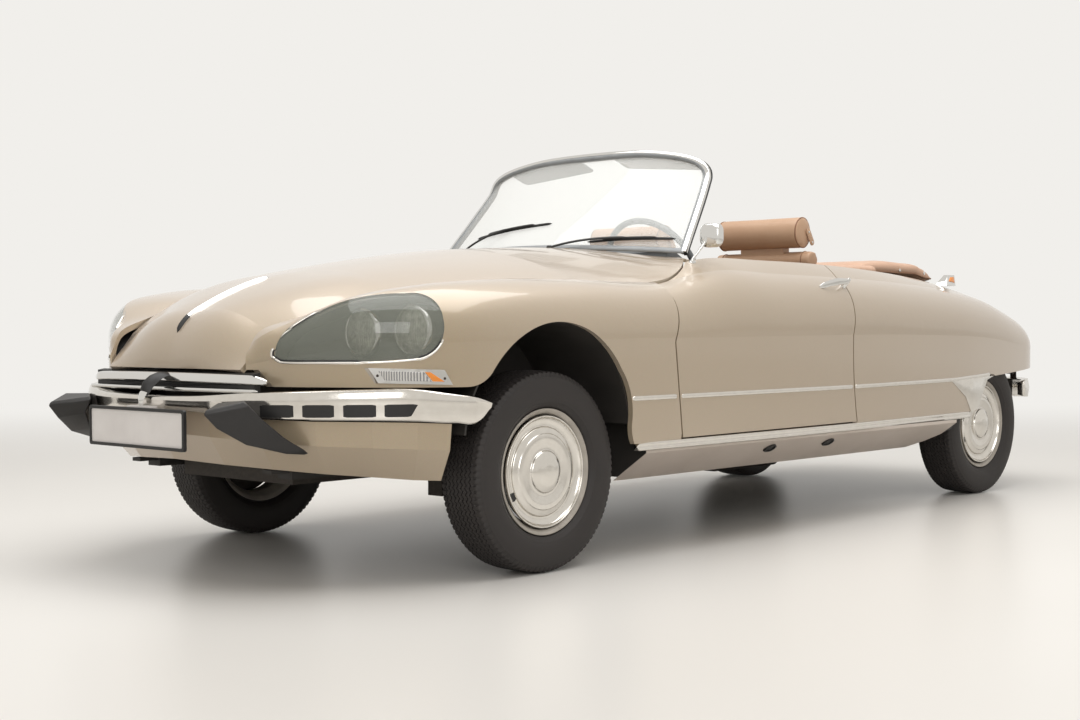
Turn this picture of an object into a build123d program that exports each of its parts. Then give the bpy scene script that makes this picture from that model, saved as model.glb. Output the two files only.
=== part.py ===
"""Large two-door cabriolet with its hood folded, standing on high-set self-levelling suspension.

Frame: +X is the car's left, the nose points to -Y, +Z is up; the origin lies on the ground under
the middle of the overall length. Sizes are millimetres. A station "s" is a distance behind the
front axle, so y = s + FRONT_AXLE_Y. Body sections are thin closed loops of arcs that stand in
upright planes square to the plan outline; each row of a station table is one such section.
"""
import os
from math import cos, radians, sin, sqrt

from build123d import *

# ---- driving dimensions ----
LENGTH = 4874.0
WHEELBASE = 3125.0
FRONT_OVERHANG = 1060.0
FRONT_AXLE_Y = FRONT_OVERHANG - LENGTH / 2
NOSE_S = -FRONT_OVERHANG
TAIL_S = LENGTH - FRONT_OVERHANG
FRONT_TRACK = 1516.0
REAR_TRACK = 1316.0

TYRE_RADIUS = 330.0
TYRE_WIDTH = 185.0
TREAD_WIDTH = 146.0
BEAD_RADIUS = 192.0
FLANGE_RADIUS = 207.0
RIM_WIDTH = 140.0
CAP_RADIUS = 181.0
CAP_DOME_RADIUS = 68.0
HUB_RADIUS = 55.0
STUB_RADIUS = 22.0
STUB_REACH = 48.0
TOW_EYE_RADIUS = 14.0

SKIN = 20.0
LID_SKIN = 16.0
DOOR_INNER_X = 806.0
DOOR_SET_IN = 18.0
SHUT_GAP = 6.0
LID_GAP = 7.0
LID_SWING_GAP = 9.0
SEAT_GAP = 0.3

DOOR_BOTTOM_Z = 408.0
SILL_TOP_Z = 400.0
SILL_BOTTOM_Z = 272.0
FLOOR_Z = 285.0
FLOOR_THICKNESS = 14.0
DOOR_HINGE_X = 858.0
DOOR_HINGE_S = 530.0
BONNET_HINGE_S = 905.0
BONNET_HINGE_Z = 1036.0
LID_HINGE_S = 2925.0
LID_HINGE_Z = 977.0
PIN_RADIUS = 5.0
LINK_HALF = 6.0
PIN_GAP = 0.15
BORE_GAP = 0.05

STEERING_WHEEL_RADIUS = 212.0
STEERING_RAKE = 28.0
STEERING_HUB = (370.0, 1122.0, 1024.0)
REAR_AXLE_Y = WHEELBASE + FRONT_AXLE_Y


def Y(s):
    """Row y of a station behind the front axle."""
    return s + FRONT_AXLE_Y


def save(name, *shapes):
    """Write the solids of one node to its own file."""
    os.makedirs("parts", exist_ok=True)
    solids = []
    for shape in shapes:
        solids.extend(shape.solids())
    body = Compound(children=solids) if len(solids) > 1 else solids[0]
    body.label = name
    export_step(body, f"parts/{name}.step")


def mirrored(shape):
    """The same shape on the other side of the car."""
    return shape.mirror(Plane.YZ)


def block(x0, x1, s0, s1, z0, z1):
    """A plain box between two x, two stations and two heights."""
    return Pos((x0 + x1) / 2, Y((s0 + s1) / 2), (z0 + z1) / 2) * Box(x1 - x0, s1 - s0, z1 - z0)


def largest(shape):
    """The biggest solid of a cut shape."""
    return max(shape.solids(), key=lambda solid: solid.volume)


def rod(start, end, radius):
    """Round bar between two (x, s, z) points."""
    a = Vector(start[0], Y(start[1]), start[2])
    b = Vector(end[0], Y(end[1]), end[2])
    plane = Plane(origin=a, z_dir=(b - a).normalized())
    return Solid.make_cylinder(radius, (b - a).length, plane)


def plate(points, x0, x1):
    """Slab between two x whose side outline runs through (s, z) points."""
    places = [Vector(x0, Y(s), z) for s, z in points]
    face = Face(Wire.make_polygon(places, close=True))
    return extrude(face, amount=x1 - x0, dir=(1, 0, 0))


def link(points, place, way):
    """Flat bar of even width through points, with an eye bored for a pin at the first one."""
    places = [place(u, v) for u, v in points]
    side = way.normalized()
    bar = None
    for a, b in zip(places, places[1:]):
        edge = side.cross((b - a).normalized()) * LINK_HALF
        flat = Face(Wire.make_polygon([a + edge, b + edge, b - edge, a - edge], close=True))
        piece = extrude(flat, amount=way.length, dir=tuple(side))
        piece = piece + Solid.make_cylinder(LINK_HALF, way.length, Plane(origin=b, z_dir=side))
        bar = piece if bar is None else bar + piece
    bar = bar + Solid.make_cylinder(PIN_RADIUS + 5, way.length, Plane(origin=places[0], z_dir=side))
    return bar - Solid.make_cylinder(PIN_RADIUS + PIN_GAP, way.length, Plane(origin=places[0], z_dir=side))


# ---- thin sections ----
def normals(points):
    """Unit normals on the left of a run of points, averaged at the inner ones."""
    result = []
    last = len(points) - 1
    for i in range(len(points)):
        a = points[max(i - 1, 0)]
        b = points[min(i + 1, last)]
        run = (b[0] - a[0], b[1] - a[1])
        size = sqrt(run[0] ** 2 + run[1] ** 2)
        result.append((-run[1] / size, run[0] / size))
    return result


def ribbon(points, start, thickness, place):
    """Closed wire of arcs: a run of points, moved to a start depth, and again one thickness on."""
    sides = []
    for depth in (start, start + thickness):
        side = []
        for point, normal in zip(points, normals(points)):
            side.append(place(point[0] + depth * normal[0], point[1] + depth * normal[1]))
        sides.append(side)
    far, near = sides
    edges = []
    for i in range(0, len(far) - 2, 2):
        edges.append(Edge.make_three_point_arc(far[i], far[i + 1], far[i + 2]))
    edges.append(Edge.make_line(far[-1], near[-1]))
    for i in range(len(near) - 1, 1, -2):
        edges.append(Edge.make_three_point_arc(near[i], near[i - 1], near[i - 2]))
    edges.append(Edge.make_line(near[0], far[0]))
    return Wire(edges)


# ---- body side: front wing, door and rear wing in one run of sections ----
# plan x, station, plan angle of the outward normal, widest height, crest depth and height,
# inner edge depth and height
SIDE = [
    (380, -857, 31, 690, 28, 748, 112, 822),
    (450, -814, 30, 705, 44, 796, 120, 818),
    (550, -757, 31, 725, 52, 852, 210, 868),
    (650, -693, 36, 738, 62, 889, 284, 899),
    (750, -610, 46, 748, 92, 915, 332, 917),
    (830, -500, 60, 754, 133, 932, 346, 923),
    (870, -400, 75, 758, 151, 941, 350, 926),
    (893, -250, 86, 760, 164, 950, 342, 935),
    (898, -60, 90, 760, 165, 958, 306, 950),
    (898, 240, 90, 760, 158, 960, 250, 961),
    (895, 560, 90, 760, 146, 957, 200, 966),
    (894, 745, 90, 760, 135, 968, 196, 1000),
    (892, 950, 90.6, 760, 122, 1006, 198, 1050),
    (887, 1400, 91, 760, 106, 1001, 176, 1056),
    (876, 1850, 92, 760, 102, 994, 170, 1048),
    (861, 2250, 92.6, 757, 104, 984, 172, 1032),
    (840, 2620, 94, 750, 111, 968, 184, 1010),
    (825, 2850, 94.7, 744, 120, 955, 200, 992),
    (806, 3060, 95.4, 735, 130, 940, 216, 970),
    (786, 3250, 97, 720, 132, 915, 220, 940),
    (768, 3400, 99, 705, 134, 882, 222, 907),
    (754, 3500, 102, 696, 132, 858, 222, 884),
    (736, 3590, 107, 688, 128, 832, 222, 862),
    (714, 3665, 116, 678, 122, 808, 220, 848),
    (684, 3725, 130, 668, 112, 785, 216, 840),
    (640, 3768, 146, 660, 102, 762, 212, 836),
    (580, 3796, 160, 654, 94, 746, 208, 834),
    (500, 3812, 172, 650, 90, 738, 206, 834),
]
SIDE_LOW_Z = 385.0
SIDE_LOW_DEPTH = 8.0
SIDE_STEP = 140.0


def evened(rows, step):
    """Rows at even steps of plan length, on a smooth curve through the given ones."""
    run = [0.0]
    for a, b in zip(rows, rows[1:]):
        run.append(run[-1] + sqrt((b[0] - a[0]) ** 2 + (b[1] - a[1]) ** 2))
    slopes = []
    last = len(rows) - 1
    for i in range(len(rows)):
        lo, hi = max(i - 1, 0), min(i + 1, last)
        slopes.append([(q - p) / (run[hi] - run[lo]) for p, q in zip(rows[lo], rows[hi])])
    count = round(run[-1] / step)
    result = []
    for k in range(count + 1):
        at = run[-1] * k / count
        i = max(j for j in range(last) if run[j] <= at + 1e-9)
        size = run[i + 1] - run[i]
        t = (at - run[i]) / size
        weights = (2 * t ** 3 - 3 * t ** 2 + 1, (t ** 3 - 2 * t ** 2 + t) * size,
                   3 * t ** 2 - 2 * t ** 3, (t ** 3 - t ** 2) * size)
        parts = zip(rows[i], slopes[i], rows[i + 1], slopes[i + 1])
        result.append([sum(w * v for w, v in zip(weights, part)) for part in parts])
    return result


FRONT_ROWS = evened(SIDE[:14], SIDE_STEP)
DOOR_ROWS = evened(SIDE[9:17], 2 * SIDE_STEP)
REAR_ROWS = evened(SIDE[13:], SIDE_STEP)


def side_points(row):
    """A body-side section from its low edge over the shoulder to its inner edge."""
    _, _, _, wide_z, crest_d, crest_z, edge_d, edge_z = row
    rise = crest_z - wide_z
    return [
        (-SIDE_LOW_DEPTH, SIDE_LOW_Z),
        (-0.25 * SIDE_LOW_DEPTH, (wide_z + SIDE_LOW_Z) / 2),
        (0, wide_z),
        (-0.29 * crest_d, wide_z + 0.71 * rise),
        (-crest_d, crest_z),
        (-(crest_d + edge_d) / 2, (crest_z + edge_z) / 2 + 0.04 * (edge_d - crest_d)),
        (-edge_d, edge_z),
    ]


def side_place(row):
    """Placing function of a section plane square to the plan outline."""
    x, s, angle = row[0], row[1], radians(row[2])
    return lambda d, z: Vector(x + d * sin(angle), Y(s) - d * cos(angle), z)


def side_panel(rows, thickness, start=0.0):
    """Loft of the body side, from a depth under its outer surface and so thick."""
    wires = [ribbon(side_points(row), start, thickness, side_place(row)) for row in rows]
    return Solid.make_loft(wires, False)


# ---- plan and side outlines that split the panels ----
# arcs through each three: (x, s) from the nose to the pillar foot, and back across the car
BONNET_PLAN = [
    (362, -885), (414, -700), (505, -460), (598, -160), (664, 100), (714, 380), (748, 640),
    (741, 790), (668, 934), (470, 760), (0, 655),
]
LID_PLAN = [(0, 2992), (400, 3010), (606, 3060), (590, 3330), (545, 3600), (532, 3720), (524, 3850)]
# (s, z) round the door from its front top corner down, along and up again
DOOR_FRONT = [(668, 1100), (652, 948), (603, 745), (627, 559), (650, DOOR_BOTTOM_Z)]
DOOR_REAR = [(1812, DOOR_BOTTOM_Z), (1776, 800), (1838, 1100)]


def arc_run(places):
    """Edges through consecutive threes of a run of places."""
    edges = []
    for i in range(0, len(places) - 2, 2):
        edges.append(Edge.make_three_point_arc(places[i], places[i + 1], places[i + 2]))
    return edges


def plan_block(plan, grow):
    """Upright solid over a plan outline and its mirror image, grown by an amount."""
    left = [Vector(x, Y(s), 0) for x, s in plan]
    right = [Vector(-p.X, p.Y, 0) for p in reversed(left)]
    edges = arc_run(left) + arc_run(right)
    for a, b in ((left[-1], right[0]), (right[-1], left[0])):
        if (b - a).length > 0.01:
            edges.append(Edge.make_line(a, b))
    whole = Face(Wire(edges))
    whole = offset(whole, amount=grow) if grow else whole
    return Pos(0, 0, 450) * extrude(whole, amount=800, dir=(0, 0, 1))


def door_block(grow, low_z=DOOR_BOTTOM_Z):
    """Solid that reaches through the left side inside the door's shut line."""
    front = [Vector(500, Y(s), z) for s, z in DOOR_FRONT]
    rear = [Vector(500, Y(s), z) for s, z in DOOR_REAR]
    edges = arc_run(front) + [Edge.make_line(front[-1], rear[0])] + arc_run(rear)
    edges.append(Edge.make_line(rear[-1], front[0]))
    outline = Face(Wire(edges))
    outline = offset(outline, amount=grow) if grow else outline
    solid = extrude(outline, amount=500, dir=(1, 0, 0))
    return solid if low_z == DOOR_BOTTOM_Z else solid + block(500, 1000, 640, 1815, low_z, 420)


# ---- lengthwise panels: bonnet and boot lid ----
# station, height, side fall and half width of the fall along the bonnet's centre line
BONNET = [
    (-868, 676, 0, 367), (-846, 790, 84, 378), (-760, 866, 82, 400), (-600, 937, 71, 455),
    (-350, 998, 74, 552), (-40, 1047, 88, 640), (280, 1088, 128, 700), (600, 1106, 152, 747),
    (950, 1112, 80, 760),
]
BONNET_RIBS = [230, 400, 560, 690, 790]
DECK = [
    (2800, 1018, 8, 650), (2960, 1004, 20, 625), (3120, 982, 30, 600), (3360, 928, 40, 585),
    (3560, 856, 42, 560), (3700, 770, 30, 530), (3775, 680, 14, 520), (3792, 640, 8, 520),
    (3800, 590, 2, 520),
]
DECK_RIBS = [240, 440, 560, 640]
CROWN = 2.4
CROWN_REACH = 1.15


def crowned(rows, x):
    """Lengthwise section of a crowned panel at one x."""
    points = []
    for s, z, fall, half in rows:
        reach = min(abs(x) / half, CROWN_REACH)
        points.append((s, z - fall * reach ** CROWN))
    return points


def crowned_panel(rows, ribs, thickness, start=0.0):
    """Loft of a crowned panel across the car."""
    wires = []
    for x in [-rib for rib in reversed(ribs)] + [0] + ribs:
        place = lambda s, z, x=x: Vector(x, Y(s), z)
        wires.append(ribbon(crowned(rows, x), -start, -thickness, place))
    return Solid.make_loft(wires, False)


BONNET_ARM = [(BONNET_HINGE_S, BONNET_HINGE_Z), (876, 988), (826, 1036)]
BONNET_ARM_X = (598.0, 610.0)
LID_ARM = [(LID_HINGE_S, LID_HINGE_Z), (2966, 868), (3034, 975)]
LID_ARM_X = (404.0, 416.0)


def hinge_arm(points, span):
    """Swan-neck arm of a lid, standing lengthwise."""
    return link(points, lambda s, z: Vector(span[0], Y(s), z), Vector(span[1] - span[0], 0, 0))


def hinge_seat(pin_s, pin_z, span, reach):
    """Pin of a lid's arm between two cheeks that hang from the panel above."""
    low, high = span
    cheek = block(low - 7, low - SEAT_GAP, pin_s - 10, pin_s + 10, pin_z - 9, pin_z + reach)
    other = block(high + SEAT_GAP, high + 7, pin_s - 10, pin_s + 10, pin_z - 9, pin_z + reach)
    return cheek + other + rod((low - 7, pin_s, pin_z), (high + 7, pin_s, pin_z), PIN_RADIUS)


def make_bonnet():
    """Bonnet skin with its two hinge arms."""
    skin = largest(crowned_panel(BONNET, BONNET_RIBS, LID_SKIN) & plan_block(BONNET_PLAN, 0))
    arm = hinge_arm(BONNET_ARM, BONNET_ARM_X)
    return skin + arm + mirrored(arm)


def make_boot_lid():
    """Boot lid skin with its two hinge arms."""
    skin = largest(crowned_panel(DECK, DECK_RIBS, LID_SKIN) & plan_block(LID_PLAN, 0)
                   - block(-700, 700, 3500, 3900, 400, 622))
    arm = hinge_arm(LID_ARM, LID_ARM_X)
    return skin + arm + mirrored(arm)


# ---- wings ----
ARCH = [(-391, 620), (-338, 632), (-300, 661), (-8, 818), (308, 656), (360, 560), (366, 480),
        (366, 440), (384, 396)]
REAR_CUT = [(3830, 590), (3500, 572), (3140, 556), (3030, 545), (2985, 480), (2950, 415), (2868, 384)]


def front_low_cut():
    """What lies under the front wing's lower edge and inside its wheel arch."""
    x = 250
    start = [(-1000, 300), (-1000, 676), (-832, 676), (-806, 624)]
    places = [Vector(x, Y(s), z) for s, z in start]
    arch = [Vector(x, Y(s), z) for s, z in ARCH]
    edges = [Edge.make_line(a, b) for a, b in zip(places, places[1:] + arch[:1])]
    edges += arc_run(arch)
    edges.append(Edge.make_line(arch[-1], Vector(x, Y(ARCH[-1][0]), 300)))
    edges.append(Edge.make_line(Vector(x, Y(ARCH[-1][0]), 300), places[0]))
    return extrude(Face(Wire(edges)), amount=800, dir=(1, 0, 0))


def rear_low_cut():
    """What lies under the rear wing's trim line and in front of the rear wheel."""
    x = 250
    run = [Vector(x, Y(s), z) for s, z in REAR_CUT]
    low_rear = Vector(x, Y(3900), 300)
    high_rear = Vector(x, Y(3900), 590)
    low_front = Vector(x, Y(REAR_CUT[-1][0]), 300)
    edges = [Edge.make_line(high_rear, run[0])] + arc_run(run)
    edges += [Edge.make_line(run[-1], low_front), Edge.make_line(low_front, low_rear),
              Edge.make_line(low_rear, high_rear)]
    return extrude(Face(Wire(edges)), amount=800, dir=(1, 0, 0))


# headlamp opening: the outline seen along its own axis, as (x, s, z) of points on the wing
LAMP_OUTLINE = [
    (458, -808, 716), (466, -793, 768), (528, -719, 842), (600, -640, 882), (715, -502, 902),
    (775, -440, 882), (828, -448, 825), (844, -475, 760), (815, -526, 711), (682, -674, 700),
    (552, -760, 700), (490, -798, 700),
]
LAMP_AIM = Vector(sin(radians(40)) * cos(radians(12)), -cos(radians(40)) * cos(radians(12)),
                  sin(radians(12)))
LAMP_CENTRE = (660, -620, 800)
LAMP_COVER = 5.0
LAMP_GAP = 0.3
LAMP_DEPTH = 168.0
PAN_WALL = 5.0


def lamp_block(grow, low=-330, high=330):
    """Solid along the headlamp's aim through its opening, grown, between two depths."""
    x, s, z = LAMP_CENTRE
    plane = Plane(origin=Vector(x, Y(s), z), z_dir=LAMP_AIM)
    flat = [plane.to_local_coords(Vector(x, Y(s), z)) for x, s, z in LAMP_OUTLINE]
    places = [Vector(p.X, p.Y, 0) for p in flat + flat[:1]]
    face = Face(Wire(arc_run(places)))
    face = -face if face.normal_at().Z < 0 else face
    face = offset(face, amount=grow) if grow else face
    return plane * (Pos(0, 0, low) * extrude(face, amount=high - low, dir=(0, 0, 1)))


def make_front_wing():
    wing = side_panel(FRONT_ROWS, SKIN) - plan_block(BONNET_PLAN, LID_GAP)
    wing = wing - door_block(SHUT_GAP, 300) - block(400, 1000, 700, 1200, 300, 1200)
    wing = wing - front_low_cut() - lamp_block(0)
    return largest(wing - block(400, 1000, 300, 700, 300, SILL_TOP_Z + SEAT_GAP))


def make_door_skin():
    """Outer door panel, from the sill over the shoulder to the belt."""
    return largest((side_panel(DOOR_ROWS, SKIN) & door_block(0)) - plan_block(BONNET_PLAN, LID_GAP))


FRAME_WALL = 12.0
GUSSET_END = 889.0
DOOR_ARM = [(DOOR_HINGE_X, DOOR_HINGE_S), (746, 572), (770, 622), (818, 668)]
DOOR_ARM_HEIGHT = 40.0
DOOR_ARM_Z = (480.0, 750.0)


def make_door_frame():
    """Inner box of the door with its belt rail and hinge arms, and the gusset in the front top corner."""
    edge = plan_block(BONNET_PLAN, LID_GAP + 8)
    lining = side_panel(DOOR_ROWS, FRAME_WALL, SKIN + SEAT_GAP) & door_block(-DOOR_SET_IN)
    lining = largest(lining - edge)
    core = door_block(-DOOR_SET_IN) & block(DOOR_INNER_X, 905, 500, 2000, 380, 1000)
    core = largest(core - side_panel(DOOR_ROWS, 90, SKIN + SEAT_GAP - 90))
    frame = core
    rail = lining & block(400, DOOR_INNER_X - SEAT_GAP, GUSSET_END, 2000, 380, 1200)
    gusset = lining & block(400, DOOR_INNER_X - SEAT_GAP, 400, GUSSET_END - SEAT_GAP, 380, 1200)
    for z in DOOR_ARM_Z:
        frame = frame + link(DOOR_ARM, lambda x, s, z=z: Vector(x, Y(s), z), Vector(0, 0, DOOR_ARM_HEIGHT))
    return [frame, largest(rail), largest(gusset)]


def make_rear_wing():
    wing = side_panel(REAR_ROWS, SKIN) - door_block(SHUT_GAP, 300)
    wing = wing - block(400, 1000, 900, 1700, 300, 1200) - plan_block(LID_PLAN, LID_GAP)
    wing = wing - rear_low_cut() - block(-100, 490, 3000, 3900, 300, 1200)
    return largest(wing - block(400, 1000, 1700, 3000, 300, SILL_TOP_Z + SEAT_GAP))


# ---- lamps ----
def make_lamp_cover():
    """Shaped glass flush with the wing's outer surface."""
    return largest(side_panel(FRONT_ROWS, LAMP_COVER) & lamp_block(-LAMP_GAP))


def make_lamp_pan(wing):
    """Closed pan behind the opening that carries the lamps: a rim wall and a back."""
    pan = lamp_block(6, -LAMP_DEPTH - PAN_WALL, 150) - lamp_block(6 - PAN_WALL, -LAMP_DEPTH, 150)
    return largest(largest(pan - side_panel(FRONT_ROWS, 161 + SKIN, -160)) - wing)


# lamp centre x, station, height and radius, inner lamp first
LAMPS = [(600, -575, 786, 74), (734, -487, 793, 76)]
LAMP_BODY_DEPTH = 60.0


def make_headlamp(x, s, z, radius):
    """Round lamp: domed lens, bowl and rim about a lengthwise axis."""
    profile = Polyline((0, 12), (radius - 12, 4), (radius, 0), (radius, -10), (radius - 14, -22),
                       (34, -LAMP_BODY_DEPTH), (0, -LAMP_BODY_DEPTH), close=True)
    turned = revolve(make_face(profile), Axis.Y)
    stud = rod((x, s + LAMP_BODY_DEPTH - 4, z), (x, s + 260, z), 30)
    stud = stud & lamp_block(6 - PAN_WALL - SEAT_GAP, SEAT_GAP - LAMP_DEPTH, 150)
    return Pos(x, Y(s), z) * Rot(0, 0, 180) * turned + stud


# ---- bumpers, valances and grille ----
# plan x, station, plan angle of the outward normal, top, crease and bottom heights
BUMPER = [
    (0, -972, 0, 592, 580, 556), (250, -954, 8, 596, 580, 546), (440, -902, 20, 608, 584, 532),
    (600, -800, 34, 614, 585, 526), (730, -680, 42, 618, 586, 524), (820, -560, 56, 618, 586, 520),
    (872, -440, 70, 600, 580, 512), (890, -345, 80, 585, 574, 516), (893, -306, 84, 572, 566, 552),
]
BUMPER_DEPTH = 46.0


def bumper_wire(row, grow):
    x, s, angle, top, crease, bottom = row
    place = side_place((x, s, angle))
    points = [(-BUMPER_DEPTH, top + grow), (-12 + grow, top + grow), (grow, crease),
              (-6 + grow, bottom - grow), (-BUMPER_DEPTH, bottom - grow)]
    return Wire.make_polygon([place(d, z) for d, z in points], close=True)


def bumper_bar(grow=0.0):
    half = Solid.make_loft([bumper_wire(row, grow) for row in BUMPER], True)
    return half + mirrored(half)


def make_front_bumper():
    """Bumper bar on two irons that come up from the rails."""
    seat = RAIL_TOP_Z + SEAT_GAP
    iron = plate([(-895, 583), (-895, 543), (-720, seat), (-600, seat), (-600, seat + 16)], 345, 385)
    iron = largest(iron - make_valance(SEAT_GAP))
    return bumper_bar() + iron + mirrored(iron)


# plan x, station, plan angle, top depth and height, bottom depth and height
VALANCE = [
    (0, -952, 0, 30, 550, 90, 384), (250, -934, 8, 30, 540, 100, 376), (440, -882, 20, 30, 526, 118, 366),
    (600, -780, 34, 30, 520, 132, 352), (730, -660, 42, 28, 518, 140, 340),
    (815, -540, 56, 22, 514, 128, 330), (860, -440, 68, 16, 508, 110, 326),
]


def valance_wire(row, grow):
    x, s, angle, top_d, top_z, low_d, low_z = row
    place = side_place((x, s, angle))
    middle = (-0.3 * low_d - 0.7 * top_d + 12, 0.55 * top_z + 0.45 * low_z)
    points = [(-top_d, top_z), middle, (-low_d, low_z)]
    inner = [(d - 10, z) for d, z in reversed(points)]
    outer = [(d + grow, z) for d, z in points]
    return Wire.make_polygon([place(d, z) for d, z in outer + inner], close=True)


def make_valance(grow=0.0):
    half = Solid.make_loft([valance_wire(row, grow) for row in VALANCE], True)
    return half + mirrored(half)


def make_overrider():
    """Pointed rubber horn ahead of the bumper, with a tail sloping back beneath it."""
    outer = [(NOSE_S, 580), (-985, 592), (-900, 588), (-900, 520), (-900, 470), (-920, 440), (-1010, 500)]
    return largest(plate(outer, 300, 425) - bumper_bar(SEAT_GAP) - make_valance(SEAT_GAP))


def make_grille():
    """Blade along the bonnet's front edge, mesh under it and the pointed nose piece."""
    blade = plate([(-884, 640), (-884, 664), (-866, 668), (-850, 650), (-850, 640)], -470, 470)
    blade = blade - plate([(-900, 500), (-840, 500), (-840, 700), (-900, 700)], 430, 520)
    mesh = plate([(-868, 614), (-868, 640), (-850, 640), (-850, 614)], -420, 420)
    beak = plate([(-968, 600), (-905, 655), (-868, 640), (-868, 600)], -40, 40)
    stay = block(250, 280, -905, -850, 500, 620) - make_valance(SEAT_GAP) - bumper_bar(SEAT_GAP)
    stay = max(stay.solids(), key=lambda solid: solid.center().Z)
    return blade + mesh + beak + stay + mirrored(stay)


def make_plate_front():
    """Blank number plate with a bracket that is bolted under the bumper."""
    bracket = block(-60, 60, -998, -935, 534, 560) - bumper_bar(SEAT_GAP) - make_valance(SEAT_GAP)
    return largest(block(-260, 260, -1003, -998, 436, 546) + bracket)


REAR_BUMPER = [
    (0, TAIL_S, 180, 530, 480, 430), (420, TAIL_S - 18, 172, 530, 480, 430),
    (610, TAIL_S - 60, 150, 530, 480, 430), (705, TAIL_S - 140, 122, 528, 482, 434),
    (728, TAIL_S - 230, 106, 516, 482, 440),
]
REAR_BUMPER_DEPTH = 40.0


def make_rear_bumper():
    wires = []
    for x, s, angle, top, crease, bottom in REAR_BUMPER:
        place = side_place((x, s, angle))
        points = [(-REAR_BUMPER_DEPTH, top - 8), (-8, top), (0, crease), (-8, bottom),
                  (-REAR_BUMPER_DEPTH, bottom + 8)]
        wires.append(Wire.make_polygon([place(d, z) for d, z in points], close=True))
    half = Solid.make_loft(wires, True)
    irons = block(400, 440 - SEAT_GAP, 3560, TAIL_S - 38, 465, 495)
    return half + mirrored(half) + irons + mirrored(irons)


def make_tail_panel():
    """Closing panel between the wings' rear ends, under the boot lid, turned in at its foot."""
    return block(-485, 485, 3772, 3786, 538, 616)


def make_tail_lamp(wing):
    """Lens that lies on the wing's tail."""
    lens = side_panel(REAR_ROWS, 16, -14)
    return largest((lens & block(540, 640, 3700, 3870, 628, 722)) - wing)


def make_rear_indicator(wing):
    """Housing on the wing's crest, pointed forward, with its lamp looking back."""
    base = [Vector(x, Y(s), 978) for x, s in ((606, 2905), (672, 2905), (660, 3010), (586, 3010))]
    top = [Vector(x, Y(s), 1030) for x, s in ((626, 2960), (644, 2960), (650, 3016), (592, 3016))]
    housing = Solid.make_loft([Wire.make_polygon(base, close=True), Wire.make_polygon(top, close=True)], True)
    return largest(housing - side_panel(REAR_ROWS, SKIN, 0.5) - wing)


# ---- platform and scuttle ----
def make_platform():
    """Flat floor with box sills, bulkheads and the rails that reach to both ends."""
    floor = block(-700, 700, 480, HEEL_S, FLOOR_Z, FLOOR_Z + FLOOR_THICKNESS)
    sill = plate([(470, SILL_BOTTOM_Z), (470, SILL_TOP_Z), (2780, SILL_TOP_Z), (2660, 320),
                  (2500, SILL_BOTTOM_Z)], 700, 865)
    slope = Face(Wire.make_polygon([Vector(880, Y(300), 372), Vector(720, Y(300), 262),
                                    Vector(880, Y(300), 262)], close=True))
    sill = sill - extrude(slope, amount=2800, dir=(0, 1, 0))
    flank = Face(Wire.make_polygon([Vector(866, Y(1850), 250), Vector(813, Y(2800), 250),
                                    Vector(900, Y(2800), 250), Vector(900, Y(1850), 250)], close=True))
    sill = sill - extrude(flank, amount=200, dir=(0, 0, 1))
    rail = block(330, 400, -700, 480, 330, RAIL_TOP_Z)
    tower = block(400, 470, -130, 130, 330, 560)
    tail = plate([(HEEL_S, 285), (HEEL_S, 420), (2700, 560), (3700, 560), (3700, 470), (2760, 470),
                  (2620, 285)], 440, 500)
    heel = block(-700, 700, HEEL_S, HEEL_S + 14, 285, 640)
    deck = block(-500, 500, 2650, 3772 - SEAT_GAP, 546, 560)
    step = block(-500, 500, HEEL_S + 14, 2664, 546, 560)
    bulkhead = block(-690, 690, 466, 480, 285, SHELF_Z)
    shape = floor + bulkhead + heel + deck + step
    eye = block(341, 389, -770, -699, 350, 362)
    eye = eye - Solid.make_cylinder(TOW_EYE_RADIUS, 12, Plane(origin=(365, Y(-742), 350)))
    post = block(690, 820, 466, 512, SILL_TOP_Z, 880)
    for piece in (sill, rail, tower, tail, eye, post, *door_seats()):
        shape = shape + piece + mirrored(piece)
    return shape


def door_seats():
    """Lugs and pins on the hinge post, above and below each arm of the door."""
    pieces = []
    for z in DOOR_ARM_Z:
        for low in (z - 12, z + DOOR_ARM_HEIGHT + SEAT_GAP):
            ear = block(812, 866, 505, 539, low, low + 12 - SEAT_GAP)
            pieces.append(ear)
        foot = Vector(DOOR_HINGE_X, Y(DOOR_HINGE_S), z - 12)
        pieces.append(Solid.make_cylinder(PIN_RADIUS, DOOR_ARM_HEIGHT + 24, Plane(origin=foot)))
    return pieces


HEEL_S = 2320.0
SHELF_Z = 930.0
RAIL_TOP_Z = 420.0
SCREEN_BASE = [(-640, 952, 1082), (0, 742, 1106), (640, 952, 1082)]
SCREEN_TOP = [(-560, 1212, 1398), (0, 1182, 1490), (560, 1212, 1398)]
GLASS = 5.0


def behind_screen(shift, low, high):
    """Upright solid over everything behind the glass's foot, moved back by a shift."""
    foot = [Vector(x, Y(s + shift), low) for x, s, _ in SCREEN_BASE]
    corners = [Vector(900, foot[2].Y, low), Vector(900, Y(1300), low), Vector(-900, Y(1300), low),
               Vector(-900, foot[0].Y, low)]
    edges = [Edge.make_three_point_arc(*foot)]
    for a, b in zip([foot[2]] + corners, corners + [foot[0]]):
        edges.append(Edge.make_line(a, b))
    return extrude(Face(Wire(edges)), amount=high - low, dir=(0, 0, 1))


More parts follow.
